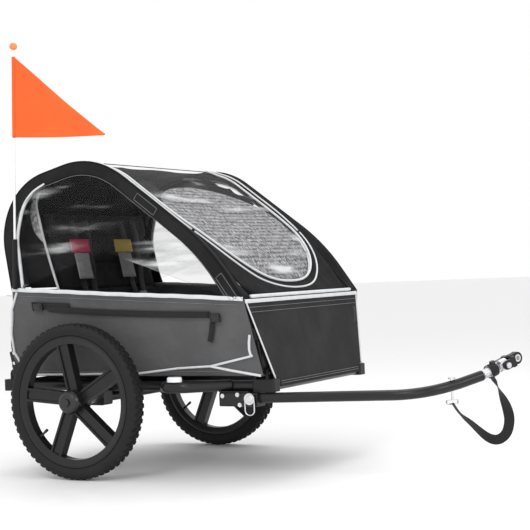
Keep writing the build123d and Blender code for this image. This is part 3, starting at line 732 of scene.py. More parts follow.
def make_side_panel(side):
    """The flared lower side: slack cloth with a hem, pipings at its front, and a webbing strap across it."""
    sign = SIDES[side]

    def panel(u, v):
        rear, front = panel_edges(v)
        x = rear + (front - rear) * u
        z = HEM_Z + (waist_z(x) - HEM_Z) * v
        slack = sin(pi * v) * min(1, 6 * u, 6 * (1 - u))
        bulge = (ripple((x, 0, z), (4.5, 1, 3.0), cloth_props().side_slack, 2.0 * sign)
                 + ripple((x, 0, z), (11, 1, 6), 0.002, 5))
        return side_point(sign, x, z, slack * (bulge - 0.001) - 0.0015)

    skin = cloth(f"{side}_side_cloth", panel, 110, 40, "side_cloth",
                 0.0014)
    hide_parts(f"{side}_side_panel")
    between(skin, side)

    def run(corners, steps=14):
        out = []
        for (xa, za), (xb, zb) in zip(corners, corners[1:]):
            out += [side_point(sign, xa + (xb - xa) * k / steps, za + (zb - za) * k / steps,
                               0.0016) for k in range(steps)]
        return out + [side_point(sign, *corners[-1], 0.0016)]

    front_x = panel_edges(0)[1]
    lines = {
        "hem_piping": (run([(PANEL_LOW.x + 0.030, HEM_Z + 0.003), (AXLE_X + 0.150, HEM_Z + 0.007),
                            (AXLE_X + 0.272, HEM_Z + 0.020),
                            (AXLE_X + 0.370, HEM_Z + 0.025), (AXLE_X + 0.498, HEM_Z + 0.051)]), 0.0030),
        "corner_piping": (run([(AXLE_X + 0.370, HEM_Z + 0.025), (AXLE_X + 0.430, HEM_Z + 0.014),
                               (front_x - 0.006, HEM_Z + 0.001)]), 0.0034),
        "front_piping": (run([(AXLE_X + 0.499, HEM_Z + 0.103), (AXLE_X + 0.494, HEM_Z + 0.085),
                              (AXLE_X + 0.491, HEM_Z + 0.066),
                              (AXLE_X + 0.493, HEM_Z + 0.051)]), 0.0034),
        "rear_piping": (run([(AXLE_X - 0.202, HEM_Z + 0.229), (AXLE_X - 0.230, HEM_Z + 0.184),
                             (AXLE_X - 0.250, HEM_Z + 0.113),
                             (AXLE_X - 0.252, HEM_Z + 0.063), (AXLE_X - 0.240, HEM_Z + 0.042),
                             (AXLE_X - 0.228, HEM_Z + 0.012)]), 0.0034),
    }
    for name, (points, radius) in lines.items():
        between(tube(f"{side}_{name}", points, radius, "piping_white", 8), side)
    for name, lift in (("hem_stitch", 0.012), ("upper_stitch", None)):
        points = []
        for k in range(70):
            x = panel_edges(0.1)[0] + 0.01 + (front_x - 0.05 - panel_edges(0.1)[0]) * k / 69
            z = HEM_Z + lift if lift else waist_z(x) - 0.016
            points.append(side_point(sign, x, z, 0.0012))
        between(tube(f"{side}_{name}", points, STITCH_RADIUS, "stitching", STITCH_SIDES), side)
    make_side_strap(side, sign)


def make_side_strap(side, sign):
    """The black webbing strap along the side, its two buckles and a loose tail."""
    low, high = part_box("side_straps")
    out_y = Vector((0, sign, -SIDE_SLOPE))
    drop = high.z - low.z - 0.016
    points, normals = [], []
    for k in range(51):
        t = k / 50
        x = low.x + 0.004 + (high.x - low.x - 0.008) * t
        z = high.z - 0.006 - drop * t - 0.0045 * sin(pi * t)
        points.append(side_point(sign, x, z, 0.0042 + 0.001 * sin(9 * t)))
        normals.append(out_y)
    strap = ribbon(f"{side}_webbing", points, normals, 0.0165, 0.0020, "webbing_black")
    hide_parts("side_straps")
    between(strap, side)
    tail = [side_point(sign, high.x + 0.006 - 0.0024 * k, low.z + 0.002 - 0.0066 * k,
                       0.006 + 0.0012 * sin(k * 0.8)) for k in range(10)]
    between(ribbon(f"{side}_webbing_tail", tail, [out_y] * 10, 0.0145, 0.0016, "webbing_black"), side)
    flap = [side_point(sign, low.x - 0.048 + 0.006 * k, high.z + 0.004 - 0.0003 * k,
                       0.0036) for k in range(22)]
    between(ribbon(f"{side}_webbing_flap", flap, [out_y] * 22, 0.019, 0.002, "webbing_black"), side)
    tilt = Matrix.Rotation(-sign * SIDE_SLOPE, 3, "X")
    blocks = []
    for x, z, wide in ((low.x - 0.026, high.z + 0.0, 0.034), (high.x + 0.012, low.z + 0.002, 0.028)):
        at = side_point(sign, x, z, 0.0075)
        blocks.append(block("buckle", at, (wide, 0.006, 0.021), "buckle_plastic", 0.0022, tilt))
        blocks.append(block("buckle", at + Vector((0.004, sign * 0.0032, 0)), (wide * 0.45, 0.004, 0.012),
                            "buckle_plastic", 0.0015, tilt))
        for step in (-1, 1):
            blocks.append(block("buckle", at + Vector((step * wide * 0.42, sign * 0.002, 0)),
                                (0.003, 0.005, 0.023), "buckle_plastic", 0.001, tilt))
    buckles = joined(f"{side}_buckles", blocks)
    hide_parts("side_buckles")
    between(buckles, side)


SUNK, RIDGE = 0.009, 0.040  # how far the cloth drops between the arches, and how wide each arch holds it up


def surface_point(y, s, lift=0.0):
    """A point on the cabin's upper cloth, a distance along it and across it: in front it drops between arches."""
    across_share = min(1.0, max(0.0, (HALF_W - abs(y)) / RIDGE))
    along_share = min(1.0, max(0.0, (s - HINGE_S) / 0.07), max(0.0, (OUTLINE.length - s) / 0.07))
    drop = SUNK * (3 * across_share ** 2 - 2 * across_share ** 3) * (
        3 * along_share ** 2 - 2 * along_share ** 3)
    x, z = OUTLINE.point(s, lift - drop)
    return Vector((x, y, z))


def make_roof():
    """The roof and the upper rear, one cloth over the two arches, with its seams."""
    start = 0.004
    skin_y = abs(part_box("roof_panel")[0].y)

    def roof(u, v):
        y, s = skin_y * (2 * u - 1), start + (HINGE_S - 0.002 - start) * v
        between_arches = 1 - abs(2 * u - 1) ** 4
        sag = (-cloth_props().roof_sag * between_arches
               - abs(ripple((y, s, 0), (5, 9, 1), 0.006, 1.7)) * between_arches)
        return surface_point(y, s, sag - 0.0015)

    skin = cloth("roof_cloth", roof, 84, 96, "black_cloth", 0.0016)
    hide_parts("roof_panel")
    with_fold(skin)
    for share in (0.30, 0.62):
        for side, sign in SIDES.items():
            seam = [surface_point(sign * (skin_y - 0.001) - sign * 0.03 * k / 20,
                                  start + (HINGE_S - start) * share, 0.0006) for k in range(21)]
            with_fold(tube(f"{side}_roof_stitch_{int(share * 100)}", seam, STITCH_RADIUS, "stitching",
                           STITCH_SIDES))


def make_bands():
    """The black bands down the slope, beside the cover."""
    low = abs(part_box("side_bands")[0].y)
    inner = 0.286
    for side, sign in SIDES.items():
        def band(u, v, sign=sign):
            y = sign * (inner + (low - inner) * u)
            s = HINGE_S + (OUTLINE.length - 0.003 - HINGE_S) * v
            return surface_point(y, s, 0.0012 * sin(pi * u) + ripple((y, s, 0), (8, 9, 1), 0.0012) - 0.0012)

        piece = cloth(f"{side}_slope_band", band, 8, 80, "black_cloth", 0.0016)
        if side == "right":
            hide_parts("side_bands")
        with_fold(piece)


COVER_HALF = abs(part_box("front_cover")[0].y)
VIEW_HALF, VIEW_TOP, VIEW_FOOT, VIEW_ROUND, VIEW_SHAPE = 0.279, 0.014, 0.050, 0.330, 2.3
SECOND_LINE = 0.024  # from the window's edge to the outer piping
SCREEN_TOP, SCREEN_ROUND = 0.150, 0.170


def view_half(s, grow=0.0):
    """The front window's half width at a distance along the outline, or of a line that far outside it."""
    foot = OUTLINE.length - VIEW_FOOT + grow
    start = foot - VIEW_ROUND
    if s <= start:
        return VIEW_HALF + grow
    share = min(1.0, (s - start) / VIEW_ROUND)
    return (VIEW_HALF + grow) * (1 - share ** VIEW_SHAPE) ** (1 / VIEW_SHAPE)


def view_edge(t, grow=0.0, half=None, foot=None, shape=VIEW_SHAPE):
    """The window's edge, from t=0 at the top right round the foot to t=1 at the top left: (y, s)."""
    half = half or VIEW_HALF + grow
    foot = foot or OUTLINE.length - VIEW_FOOT + grow
    start, top = OUTLINE.length - VIEW_FOOT - VIEW_ROUND, HINGE_S + VIEW_TOP
    straight = 0.3
    if t < straight:
        return -half, top + (start - top) * t / straight
    if t > 1 - straight:
        return half, top + (start - top) * (1 - t) / straight
    turn = pi * (t - straight) / (1 - 2 * straight)
    c, s = cos(turn), sin(turn)
    return (-half * abs(c) ** (2 / shape) * (1 if c > 0 else -1),
            start + (foot - start) * abs(s) ** (2 / shape))


def on_cover(piece):
    return with_fold(piece, "front_cover")


def make_cover():
    """The front cover: black canopy round a window of insect screen under a clear rain film, with two pipings."""
    def canopy(u, v):
        inner = view_edge(u)
        outer = view_edge(u, half=COVER_HALF, foot=OUTLINE.length - 0.004, shape=11)
        y, s = inner[0] + (outer[0] - inner[0]) * v, inner[1] + (outer[1] - inner[1]) * v
        return surface_point(y, s, 0.0015 * sin(pi * v) - 0.0015 + ripple((y, s, 0), (9, 9, 1), 0.0008))

    skin = cloth("cover_canopy", canopy, 190, 7, "black_cloth",
                 0.0016)
    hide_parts("front_cover")
    on_cover(skin)

    def top(u, v):
        return surface_point(COVER_HALF * (2 * u - 1), HINGE_S + VIEW_TOP * v, -0.001)

    on_cover(cloth("cover_top_hem", top, 60, 4, "black_cloth",
                   0.0016))

    def net(u, v):
        first, last = HINGE_S + SCREEN_TOP, OUTLINE.length - VIEW_FOOT - 0.001
        s = first + (last - first) * v
        rounded = min(1.0, (s - first) / SCREEN_ROUND)
        half = view_half(s) * (1 - (1 - rounded) ** 2) ** 0.5
        y = half * (2 * u - 1)
        return surface_point(y, s, -0.0065 - 0.004 * (1 - (y / VIEW_HALF) ** 2))

    on_cover(cloth("insect_net", net, 70, 90, "insect_screen",
                   0.0008))

    def rain(u, v):
        first, last = HINGE_S + VIEW_TOP - 0.002, OUTLINE.length - VIEW_FOOT - 0.001
        s = first + (last - first) * v
        y = view_half(s) * (2 * u - 1)
        slack = 1 - abs(2 * u - 1) ** 3
        return surface_point(y, s, -0.001 + slack * (ripple((y, s, 0), (6, 4, 1), 0.0022, 2.2) - 0.0015))

    on_cover(cloth("rain_film", rain, 70, 90, "rain_film", 0.0006))
    inner = [surface_point(*view_edge(0.004 + 0.992 * k / 200), 0.0012) for k in range(201)]
    on_cover(tube("cover_inner_piping", inner, cloth_props().piping, "piping_white", 8))
    outer = [view_edge(k / 300, SECOND_LINE) for k in range(301)]
    middle = [surface_point(y, s, 0.0012) for y, s in outer if abs(y) < COVER_HALF]
    on_cover(tube("cover_outer_piping", middle, cloth_props().piping * 0.8, "piping_white", 8))
    for side, sign in SIDES.items():
        flank = [surface_point(y, s, 0.0012) for y, s in outer if y * sign >= COVER_HALF - 0.0005]
        with_fold(tube(f"{side}_band_piping", flank, cloth_props().piping * 0.8, "piping_white", 8))
    hem = [surface_point(COVER_HALF * 0.99 * (k / 30 - 1), OUTLINE.length - 0.005, 0.001) for k in range(61)]
    on_cover(tube("cover_hem_piping", hem, 0.0046, "piping_white", 8))


def end_half(v, notch, low=0.230, start=0.252, high=0.318):
    return low if v < notch else start + (high - start) * (v - notch) / (1 - notch)


def make_end_panels():
    """The flared front and rear panels with their hems, stitching and pipings."""
    # The front panel takes the darker, painted-shade copy of the side cloth; the rear takes the side cloth
    # itself.
    for name, notch, out, finish in (("front", 0.10, 1, "front_cloth"), ("rear", 0.22, -1, "side_cloth")):
        low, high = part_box(f"{name}_panel")
        foot_x, top_x = (high.x, low.x) if out > 0 else (low.x, high.x)

        def place(y, v, lift=0.0, low=low, high=high, foot_x=foot_x, top_x=top_x, out=out):
            return Vector((foot_x + (top_x - foot_x) * v + out * (lift - 0.0016), y,
                           low.z + (high.z - low.z) * v))

        def panel(u, v, place=place, notch=notch):
            half = end_half(v, notch)
            y = half * (2 * u - 1)
            slack = sin(pi * v) * (1 - abs(2 * u - 1) ** 4)
            return place(y, v, slack * ripple((y, 0, v), (4.5, 1, 2.5), 0.004, 6) - 0.001)

        skin = cloth(f"{name}_cloth", panel, 80, 36, finish,
                     0.0015)
        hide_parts(f"{name}_panel")
        with_fold(skin)
        for n, share in enumerate((0.965, 0.915, 0.86, 0.06, 0.035)):
            half = end_half(share, notch) - 0.006
            line = [place(half * (k / 40 - 1), share, 0.0014) for k in range(81)]
            with_fold(tube(f"{name}_hem_stitch_{n}", line, STITCH_RADIUS, "stitching", STITCH_SIDES))
        top = [place(end_half(1, notch) * (k / 40 - 1), 0.985, 0.0016) for k in range(81)]
        with_fold(ribbon(f"{name}_waist_piping", top, [(out, 0, 0.15)] * 81, 0.010, 0.0028, "piping_white"))
        for side, sign in SIDES.items():
            edge = [place(sign * (end_half(0.10 + 0.88 * k / 24, notch) - 0.002), 0.10 + 0.88 * k / 24,
                          0.0012) for k in range(25)]
            with_fold(tube(f"{side}_{name}_piping", edge, 0.0022, "piping_white", 8))


def make_floor():
    low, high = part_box("floor_panel")

    def sheet(u, v):
        x, y = low.x + (high.x - low.x) * u, low.y + (high.y - low.y) * v
        sag = 0.004 * sin(pi * u) * sin(pi * v)
        return Vector((x, y, high.z - 0.001 - sag))

    skin = cloth("floor_cloth", sheet, 60, 36, "floor_cloth",
                 0.0014)
    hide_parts("floor_panel")
    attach(skin, "root")


# ---- seat ----
PAD_VOXEL, PAD_FRAMES, PAD_MOST = 0.006, 20, 0.009


def puff(piece):
    """Fills a pad with a pressure cloth simulation, and keeps how far it moves within bounds."""
    rest = [v.co.copy() for v in piece.data.vertices]
    inside = piece.modifiers.new("pressure", "CLOTH")
    settings = inside.settings
    settings.quality, settings.mass = 5, 0.3
    settings.use_pressure, settings.uniform_pressure_force = True, seat_props().pressure
    settings.effector_weights.gravity = 0.0
    inside.point_cache.frame_start, inside.point_cache.frame_end = 1, PAD_FRAMES
    scene = bpy.context.scene
    for number in range(1, PAD_FRAMES + 1):
        scene.frame_set(number)
    bake(piece)
    for v, was in zip(piece.data.vertices, rest):
        move = v.co - was
        v.co = was + move * min(1.0, PAD_MOST / max(move.length, 1e-6))
    scene.frame_set(1)
    return piece


def make_pad(name, node, centre, size, turn, channels):
    """A padded seat piece with sewn channels across it."""
    piece = block(name, centre, size, "seat_cloth", min(size) * 0.32, turn)
    grid = piece.modifiers.new("grid", "REMESH")
    grid.mode, grid.voxel_size = "VOXEL", PAD_VOXEL
    bake(piece)
    puff(piece)
    smooth = piece.modifiers.new("smooth", "SUBSURF")
    smooth.levels = 1
    bake(piece)
    back = turn.transposed()
    for v in piece.data.vertices:
        p = back @ (v.co - Vector(centre))
        along = (p.x / size[0] + 0.5) * channels
        groove = max(0.0, 1 - abs(along - round(along)) * 9)
        if p.z > 0 and 0.5 < along < channels - 0.5:
            v.co -= turn @ Vector((0, 0, seat_props().groove * groove * groove))
    piece.data.polygons.foreach_set("use_smooth", [True] * len(piece.data.polygons))
    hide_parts(node)
    return with_fold(piece)


def back_point(y, up, lift=0.0):
    """A point on the seat back's front face, that far up it."""
    foot, head = ax(-96, 0, 342), ax(-158, 0, 715)
    run = (head - foot).normalized()
    out = Vector((run.z, 0, -run.x))
    return foot + run * up + out * lift + Vector((0, y, 0))


def make_seat():
    low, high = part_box("seat_base")
    flat = Matrix.Identity(3)
    make_pad("seat_base_pad", "seat_base", (low + high) / 2, (high.x - low.x - 0.012, high.y - low.y - 0.014,
            high.z - low.z - 0.008), flat, 4)
    foot, head = back_point(0, 0), back_point(0, (ax(-158, 0, 715) - ax(-96, 0, 342)).length)
    run = (head - foot).normalized()
    lean = Matrix((run, Vector((0, 1, 0)), run.cross(Vector((0, 1, 0))))).transposed()
    thick = 0.020
    lean_out = Vector((run.z, 0, -run.x))
    if lean.col[2].dot(lean_out) < 0:
        lean = Matrix((run, Vector((0, -1, 0)), lean_out)).transposed()
    centre = (foot + head) / 2 - lean_out * 0.014
    make_pad("seat_back_pad", "seat_back", centre, ((head - foot).length - 0.012, high.y - low.y - 0.014,
            thick), lean, 5)
    make_harness()
    make_labels()


def make_harness():
    """Shoulder, waist and crotch webbing for two children, with their buckles."""
    straps, buckles = [], []
    out = back_point(0, 0, 1) - back_point(0, 0, 0)
    for y in (-0.118, 0.118):
        for step in (-1, 1):
            run = [back_point(y + step * (0.031 - 0.012 * (1 - k / 20) ** 2),
                              0.112 + (0.345 - 0.112) * k / 20, 0.009 + 0.002 * sin(k * 0.9))
                   for k in range(21)]
            straps.append(ribbon("strap", run, [out] * 21, 0.025, 0.0018, "webbing_black"))
        hips = [back_point(y + 0.1 * (k / 12 - 1), 0.095 - 0.018 * abs(k / 12 - 1), 0.012) for k in range(25)]
        straps.append(ribbon("strap", hips, [out] * 25, 0.025, 0.0018, "webbing_black"))
        crotch = [back_point(y, 0.10 - 0.008 * k, 0.010 + 0.0032 * k) for k in range(8)]
        straps.append(ribbon("strap", crotch, [out] * 8, 0.025, 0.0018, "webbing_black"))
        lean = Vector((0, 0, 1)).rotation_difference(out).to_matrix()
        buckles.append(block("buckle", back_point(y, 0.112, 0.018), (0.046, 0.040, 0.011), "buckle_plastic",
                             0.004, lean))
        buckles.append(block("buckle", back_point(y, 0.112, 0.0245), (0.018, 0.018, 0.005), "buckle_plastic",
                             0.002, lean))
    whole = joined("harness_webbing", straps)
    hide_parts("harnesses")
    with_fold(whole)
    clasps = joined("harness_clasps", buckles)
    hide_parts("harness_buckles")
    with_fold(clasps)


def make_labels():
    """Two sewn care tags on the seat back, blank, each with a grey flap under it."""
    for name, finish, y0, y1 in (("red", "label_red", -0.178, -0.091),
                                 ("yellow", "label_yellow", 0.031, 0.116)):
        def tag(u, v, y0=y0, y1=y1):
            return back_point(y0 + (y1 - y0) * u, 0.253 + 0.037 * v, 0.0125 + 0.001 * sin(3 * u))

        with_fold(cloth(f"{name}_tag", tag, 12, 6, finish, 0.001))

        def flap(u, v, y0=y0, y1=y1):
            return back_point(y0 + 0.012 + (y1 - y0 - 0.02) * u, 0.178 + 0.074 * v,
                              0.0115 + 0.004 * (1 - v) + 0.001 * sin(5 * u))

        with_fold(cloth(f"{name}_tag_flap", flap, 12, 10, "label_grey", 0.0008))


# ---- flag and pole ----
def make_flag():
    """The flag's cloth, its hem round the pole, the ball on top and the pocket the pole stands in."""
    low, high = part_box("flag")
    pole_low, pole_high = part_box("flag_pole")
    y = (low.y + high.y) / 2
    ball = 0.010
    lean = (pole_high.x - ball - (pole_low.x + 0.00325)) / (pole_high.z - ball - pole_low.z)

    def pole_x(z):
        return pole_low.x + 0.00325 + lean * (z - pole_low.z)

    top_z, low_z = high.z - 0.001, low.z + 0.020
    tip = Vector((high.x, y, low.z + 0.0005))

    def flag(u, v):
        z = low_z + (top_z - low_z) * v
        edge = Vector((pole_x(z) + 0.002, y, z))
        p = edge.lerp(tip, u * 0.985)
        wave = sin(u * 5.2 + 1.6 * v) * 0.008 * u * (1 - u * 0.4)
        return p + Vector((0, wave + ripple(p, (8, 1, 8), 0.004, 4) * u, -0.002 * sin(pi * u)))

    skin = cloth("flag_cloth", flag, 60, 44, "flag_orange", 0.0009)
    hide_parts("flag")
    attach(skin, "flag_pole")
    hem = [Vector((pole_x(z), y, z)) for z in np.linspace(low_z, top_z, 16)]
    sewn = tube("flag_hem", hem, 0.0046, "flag_orange", 12)
    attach(sewn, "flag_pole")
    knob = bmesh.new()
    bmesh.ops.create_uvsphere(knob, u_segments=32, v_segments=20, radius=ball)
    mesh = bpy.data.meshes.new("pole_ball")
    knob.to_mesh(mesh)
    knob.free()
    mesh.transform(Matrix.Translation((pole_high.x - ball, y,
                                       pole_high.z - ball - 0.0002)) @ Matrix.Scale(1.03, 4))
    mesh.materials.append(FINISHES["ball_orange"])
    mesh.polygons.foreach_set("use_smooth", [True] * len(mesh.polygons))
    cap = bpy.data.objects.new("pole_ball", mesh)
    bpy.context.scene.collection.objects.link(cap)
    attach(cap, "flag_pole")
    foot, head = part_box("flag_sleeve")[0].z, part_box("flag_sleeve")[1].z
    pocket = tube("pole_pocket", [Vector((pole_x(z), y, z)) for z in np.linspace(foot, head, 18)], 0.0066,
                  "webbing_black", 16)
    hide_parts("flag_sleeve")
    on_arch(pocket, "right")


# ---- tow bar strap ----
STRAP_ROUTE = [(973, -184, 190), (988, -178, 165), (1012, -166, 140), (1040, -140, 106), (1060, -122, 98),
               (1076, -108, 112),
               (1081, -98, 140), (1075, -92, 168), (1062, -90, 200), (1050, -90, 226), (1042, -95, 243)]


def make_safety_strap():
    """The black webbing safety strap, from its ring up round the hitch's neck, with two twists in it."""
    route = spline([ax(*p) for p in STRAP_ROUTE], 90)
    normals = []
    for n in range(len(route)):
        t = n / (len(route) - 1)
        turn = radians(35 + 80 * min(1, max(0, (t - 0.12) / 0.3)) + 110 * min(1, max(0, (t - 0.66) / 0.28)))
        normals.append((cos(turn), sin(turn), 0.15))
    strap = ribbon("strap", route, normals, 0.0245, 0.002, "webbing_black")
    hitch = Vector((0.4755, 0.8236, 0.309)).normalized()
    side = hitch.cross(Vector((0, 0, 1))).normalized()
    top = side.cross(hitch).normalized()
    middle = ax(1021, -110, 248) + hitch * 0.033
    loop, outs = [], []
    for k in range(33):
        turn = 2 * pi * k / 32
        away = side * cos(turn) + top * sin(turn)
        loop.append(middle + away * 0.0158)
        outs.append(away)
    neck = ribbon("strap", loop, outs, 0.0225, 0.002, "webbing_black")
    whole = joined("safety_webbing", [strap, neck])
    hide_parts("safety_strap")
    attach(whole, "root")


def make_inside():
    """What shows through the windows: the lining's folds under the roof, a white piping at the seat's edge, a
    black wing beside the seat on each side and the rear's pale net."""
    def lining(u, v):
        y = 0.30 * (2 * u - 1)
        s = OUTLINE.where_x(AXLE_X - 0.19) + 0.215 * v
        drop = 0.030 + 0.026 * abs(sin(7 * u + 2.4 * v)) + abs(ripple((y, s, 0), (6, 12, 1), 0.03, 5))
        return surface_point(y, s, -drop * (1 - 0.5 * abs(2 * u - 1) ** 6))

    with_fold(cloth("roof_lining", lining, 90, 34, "black_cloth", 0.001))
    edge = spline([ax(x, -262, z) for x, z in ((-163, 758), (-173, 738), (-174, 716), (-166, 680),
                                               (-156, 637), (-134, 562), (-110, 490))], 40)
    with_fold(tube("seat_edge_piping", edge, 0.0034, "piping_white", 8))
    outer = spline([ax(x, -264, z) for x, z in ((-184, 742), (-196, 703), (-184, 653), (-150, 618))], 21)
    inner = spline([ax(x, -264, z) for x, z in ((-176, 738), (-170, 700), (-159, 658), (-148, 616))], 21)

    def net(u, v):
        k = min(20, int(round(u * 20)))
        return outer[k].lerp(inner[k], v)

    for side, sign in SIDES.items():
        def wing(u, v, sign=sign):
            z = waist_z(WAIST_REAR[0]) + 0.002 + (0.752 - 0.498) * v
            top = int(np.argmax(OUTLINE.points[:, 1]))
            rear = float(np.interp(z, OUTLINE.points[:top, 1], OUTLINE.points[:top, 0])) + 0.010
            front = float(np.interp(z, (0.490, 0.562, 0.637, 0.716, 0.784),
                                    [AXLE_X + x for x in (-0.110, -0.134, -0.156, -0.174, -0.161)]))
            return Vector((rear + (front - rear) * u, sign * (0.256 + 0.004 * sin(9 * v + 4 * u)), z))

        with_fold(cloth(f"{side}_seat_wing", wing, 24, 24, "black_cloth", 0.001))
    with_fold(cloth("side_net", net, 20, 6, "pale_mesh", 0.0008))


# ---- stage and camera ----
CAMERA_AT = (2181.37, -3250.62, 517.94)
CAMERA_TURN, CAMERA_TILT, CAMERA_ROLL, CAMERA_LENS = 28.9771, -0.2845, -2.4251, 93.97


def make_camera():
    data = bpy.data.cameras.new("camera")
    data.lens, data.sensor_width, data.clip_end = CAMERA_LENS, 36, 60
    camera = bpy.data.objects.new("camera", data)
    bpy.context.scene.collection.objects.link(camera)
    a, e, roll = radians(CAMERA_TURN), radians(CAMERA_TILT), radians(CAMERA_ROLL)
    ahead = Vector((-sin(a) * cos(e), cos(a) * cos(e), -sin(e)))
    right = Vector((cos(a), sin(a), 0))
    up = right.cross(ahead)
    across_ = right * cos(roll) + up * sin(roll)
    upright = up * cos(roll) - right * sin(roll)
    turn = Matrix((across_, upright, -ahead)).transposed().to_4x4()
    turn.translation = ax(*CAMERA_AT)
    camera.matrix_world = turn
    bpy.context.scene.camera = camera


def make_stage():
    """A pale floor, a pale sky and soft lights from the front, the near side and above."""
    floor = add("floor", [(-40, -40, 0), (40, -40, 0), (40, 40, 0), (-40, 40, 0)], [(0, 1, 2, 3)],
                "floor_pale", False)
    bpy.context.scene.view_settings.view_transform = "Standard"
    world = bpy.data.worlds.new("sky")
    bpy.context.scene.world = world
    world.use_nodes = True
    sky = world.node_tree.nodes["Background"]
    sky.inputs[0].default_value, sky.inputs[1].default_value = (1.0, 1.0, 1.0, 1), stage_props().sky
    for name, place, size, power in LAMPS:
        data = bpy.data.lights.new(name, "AREA")
        data.energy, data.shape, data.size = power * stage_props().lamps, "DISK", size
        lamp = bpy.data.objects.new(name, data)
        bpy.context.scene.collection.objects.link(lamp)
        lamp.location = place
        lamp.rotation_euler = (Vector((0, 0, 0.45)) - Vector(place)).to_track_quat("-Z", "Y").to_euler()


LAMPS = (("key", (0.4, -3.2, 2.8), 1.6, 40), ("front", (3.2, -0.6, 1.8), 1.4, 20),
         ("top", (-0.4, 0.6, 3.6), 2.2, 30),
         ("low", (1.6, -2.4, 0.5), 0.9, 5))


# ---- what can be tuned from the sidebar ----
class TrailerStageProps(bpy.types.PropertyGroup):
    sky: bpy.props.FloatProperty(name="Sky", description="Brightness of the pale sky", default=1.0, min=0,
                                 max=10)
    lamps: bpy.props.FloatProperty(name="Lamps", description="Share of the soft lights' power", default=1.0,
                                   min=0, max=10)


class TrailerClothProps(bpy.types.PropertyGroup):
    roof_sag: bpy.props.FloatProperty(name="Roof sag",
                                      description="How far the roof drops between the arches", default=0.006,
                                      unit="LENGTH")
    side_slack: bpy.props.FloatProperty(name="Side slack", description="How far the lower side bulges",
                                        default=0.006, unit="LENGTH")
    film_slack: bpy.props.FloatProperty(name="Film slack",
                                        description="How far the side windows' film hangs in", default=0.006,
                                        unit="LENGTH")
    piping: bpy.props.FloatProperty(name="Piping", description="Radius of the front window's piping",
                                    default=0.0033, unit="LENGTH")


class TrailerSeatProps(bpy.types.PropertyGroup):
    pressure: bpy.props.FloatProperty(name="Filling", description="Pressure in the seat pads", default=4.0,
                                      min=0, max=20)
    groove: bpy.props.FloatProperty(name="Channel depth", description="Depth of the sewn channels",
                                    default=0.006, unit="LENGTH")


class TrailerWheelProps(bpy.types.PropertyGroup):
    knobs: bpy.props.IntProperty(name="Knobs", description="Tread knobs round each row of a tyre", default=62,
                                 min=20, max=120)


def stage_props():
    return bpy.context.scene.trailer_stage


def cloth_props():
    return bpy.context.scene.trailer_cloth


def seat_props():
    return bpy.context.scene.trailer_seat


def wheel_props():
    return bpy.context.scene.trailer_wheels


# ---- operators, one for each piece or group of like pieces ----
class TRAILER_OT_camera(bpy.types.Operator):
    """Make the camera that shows the trailer from its front right"""
    bl_idname = "trailer.camera"
    bl_label = "Camera"

    def execute(self, context):
        make_camera()
        return {"FINISHED"}


class TRAILER_OT_stage(bpy.types.Operator):
    """Make the pale floor, the sky and the soft lights"""
    bl_idname = "trailer.stage"
    bl_label = "Stage"

    def execute(self, context):
        make_stage()
        return {"FINISHED"}


class TRAILER_OT_finishes(bpy.types.Operator):
    """Put each hard piece's finish on it"""
    bl_idname = "trailer.finishes"
    bl_label = "Hard pieces' finishes"

    def execute(self, context):
        finish_nodes()
        return {"FINISHED"}


class TRAILER_OT_tyres(bpy.types.Operator):
    """Make both knobbly tyres"""
    bl_idname = "trailer.tyres"
    bl_label = "Tyres"

    def execute(self, context):
        for side in SIDES:
            make_tyre(side)
        return {"FINISHED"}


class TRAILER_OT_sleeves(bpy.types.Operator):
    """Make the moulded sleeves at the arches' feet"""
    bl_idname = "trailer.sleeves"
    bl_label = "Arch foot sleeves"

    def execute(self, context):
        make_corner_covers()
        return {"FINISHED"}


class TRAILER_OT_windows(bpy.types.Operator):
    """Make both side windows with their borders and the piping at the waist"""
    bl_idname = "trailer.windows"
    bl_label = "Side windows"

    def execute(self, context):
        for side in SIDES:
            make_side_window(side)
            make_waist(side)
        return {"FINISHED"}


class TRAILER_OT_sides(bpy.types.Operator):
    """Make both flared lower sides with their straps"""
    bl_idname = "trailer.sides"
    bl_label = "Lower sides"

    def execute(self, context):
        for side in SIDES:
            make_side_panel(side)
        return {"FINISHED"}


class TRAILER_OT_roof(bpy.types.Operator):
    """Make the roof, the slope's bands and what hangs inside"""
    bl_idname = "trailer.roof"
    bl_label = "Roof"

    def execute(self, context):
        make_roof()
        make_bands()
        make_inside()
        return {"FINISHED"}


class TRAILER_OT_cover(bpy.types.Operator):
    """Make the front cover with its insect net and rain film"""
    bl_idname = "trailer.cover"
    bl_label = "Front cover"

    def execute(self, context):
        make_cover()
        return {"FINISHED"}


class TRAILER_OT_ends(bpy.types.Operator):
    """Make the front panel, the rear panel and the floor"""
    bl_idname = "trailer.ends"
    bl_label = "End panels and floor"

    def execute(self, context):
        make_end_panels()
        make_floor()
        return {"FINISHED"}


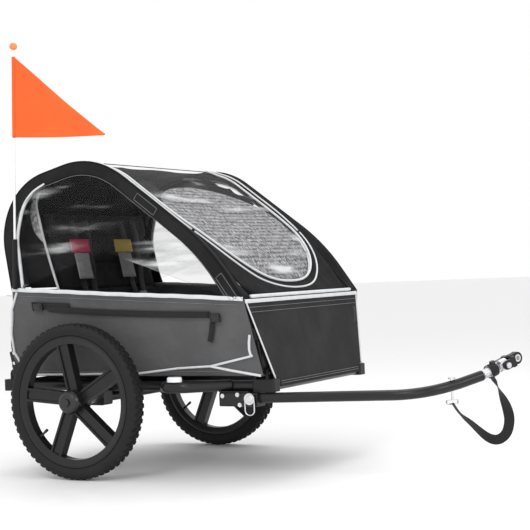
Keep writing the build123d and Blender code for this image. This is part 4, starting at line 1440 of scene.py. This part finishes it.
class TRAILER_OT_seat(bpy.types.Operator):
    """Make the padded seat with its harnesses and tags"""
    bl_idname = "trailer.seat"
    bl_label = "Seat"

    def execute(self, context):
        make_seat()
        return {"FINISHED"}


class TRAILER_OT_flag(bpy.types.Operator):
    """Make the flag, its ball and the pole's pocket"""
    bl_idname = "trailer.flag"
    bl_label = "Flag"

    def execute(self, context):
        make_flag()
        return {"FINISHED"}


class TRAILER_OT_strap(bpy.types.Operator):
    """Make the hitch's safety strap"""
    bl_idname = "trailer.strap"
    bl_label = "Safety strap"

    def execute(self, context):
        make_safety_strap()
        return {"FINISHED"}


OPERATORS = (TRAILER_OT_camera, TRAILER_OT_stage, TRAILER_OT_finishes, TRAILER_OT_tyres, TRAILER_OT_sleeves,
             TRAILER_OT_windows, TRAILER_OT_sides, TRAILER_OT_roof, TRAILER_OT_cover, TRAILER_OT_ends,
             TRAILER_OT_seat, TRAILER_OT_flag, TRAILER_OT_strap)
PROPS = {"trailer_stage": TrailerStageProps, "trailer_cloth": TrailerClothProps,
         "trailer_seat": TrailerSeatProps, "trailer_wheels": TrailerWheelProps}


class TRAILER_PT_panel(bpy.types.Panel):
    """The trailer's pieces and what can be tuned"""
    bl_label = "Trailer"
    bl_space_type = "VIEW_3D"
    bl_region_type = "UI"
    bl_category = "Trailer"

    def draw(self, context):
        for name, group in PROPS.items():
            values = getattr(context.scene, name)
            for key in group.__annotations__:
                self.layout.prop(values, key)
        for kind in OPERATORS:
            self.layout.operator(kind.bl_idname)


def register():
    for kind in (*PROPS.values(), *OPERATORS, TRAILER_PT_panel):
        bpy.utils.register_class(kind)
    for name, group in PROPS.items():
        setattr(bpy.types.Scene, name, bpy.props.PointerProperty(type=group))


def unregister():
    for name in PROPS:
        delattr(bpy.types.Scene, name)
    for kind in reversed((*PROPS.values(), *OPERATORS, TRAILER_PT_panel)):
        bpy.utils.unregister_class(kind)


def main():
    register()
    build_finishes()
    for kind in OPERATORS:
        getattr(bpy.ops.trailer, kind.bl_idname.split(".")[1])()


if __name__ == "__main__":
    main()
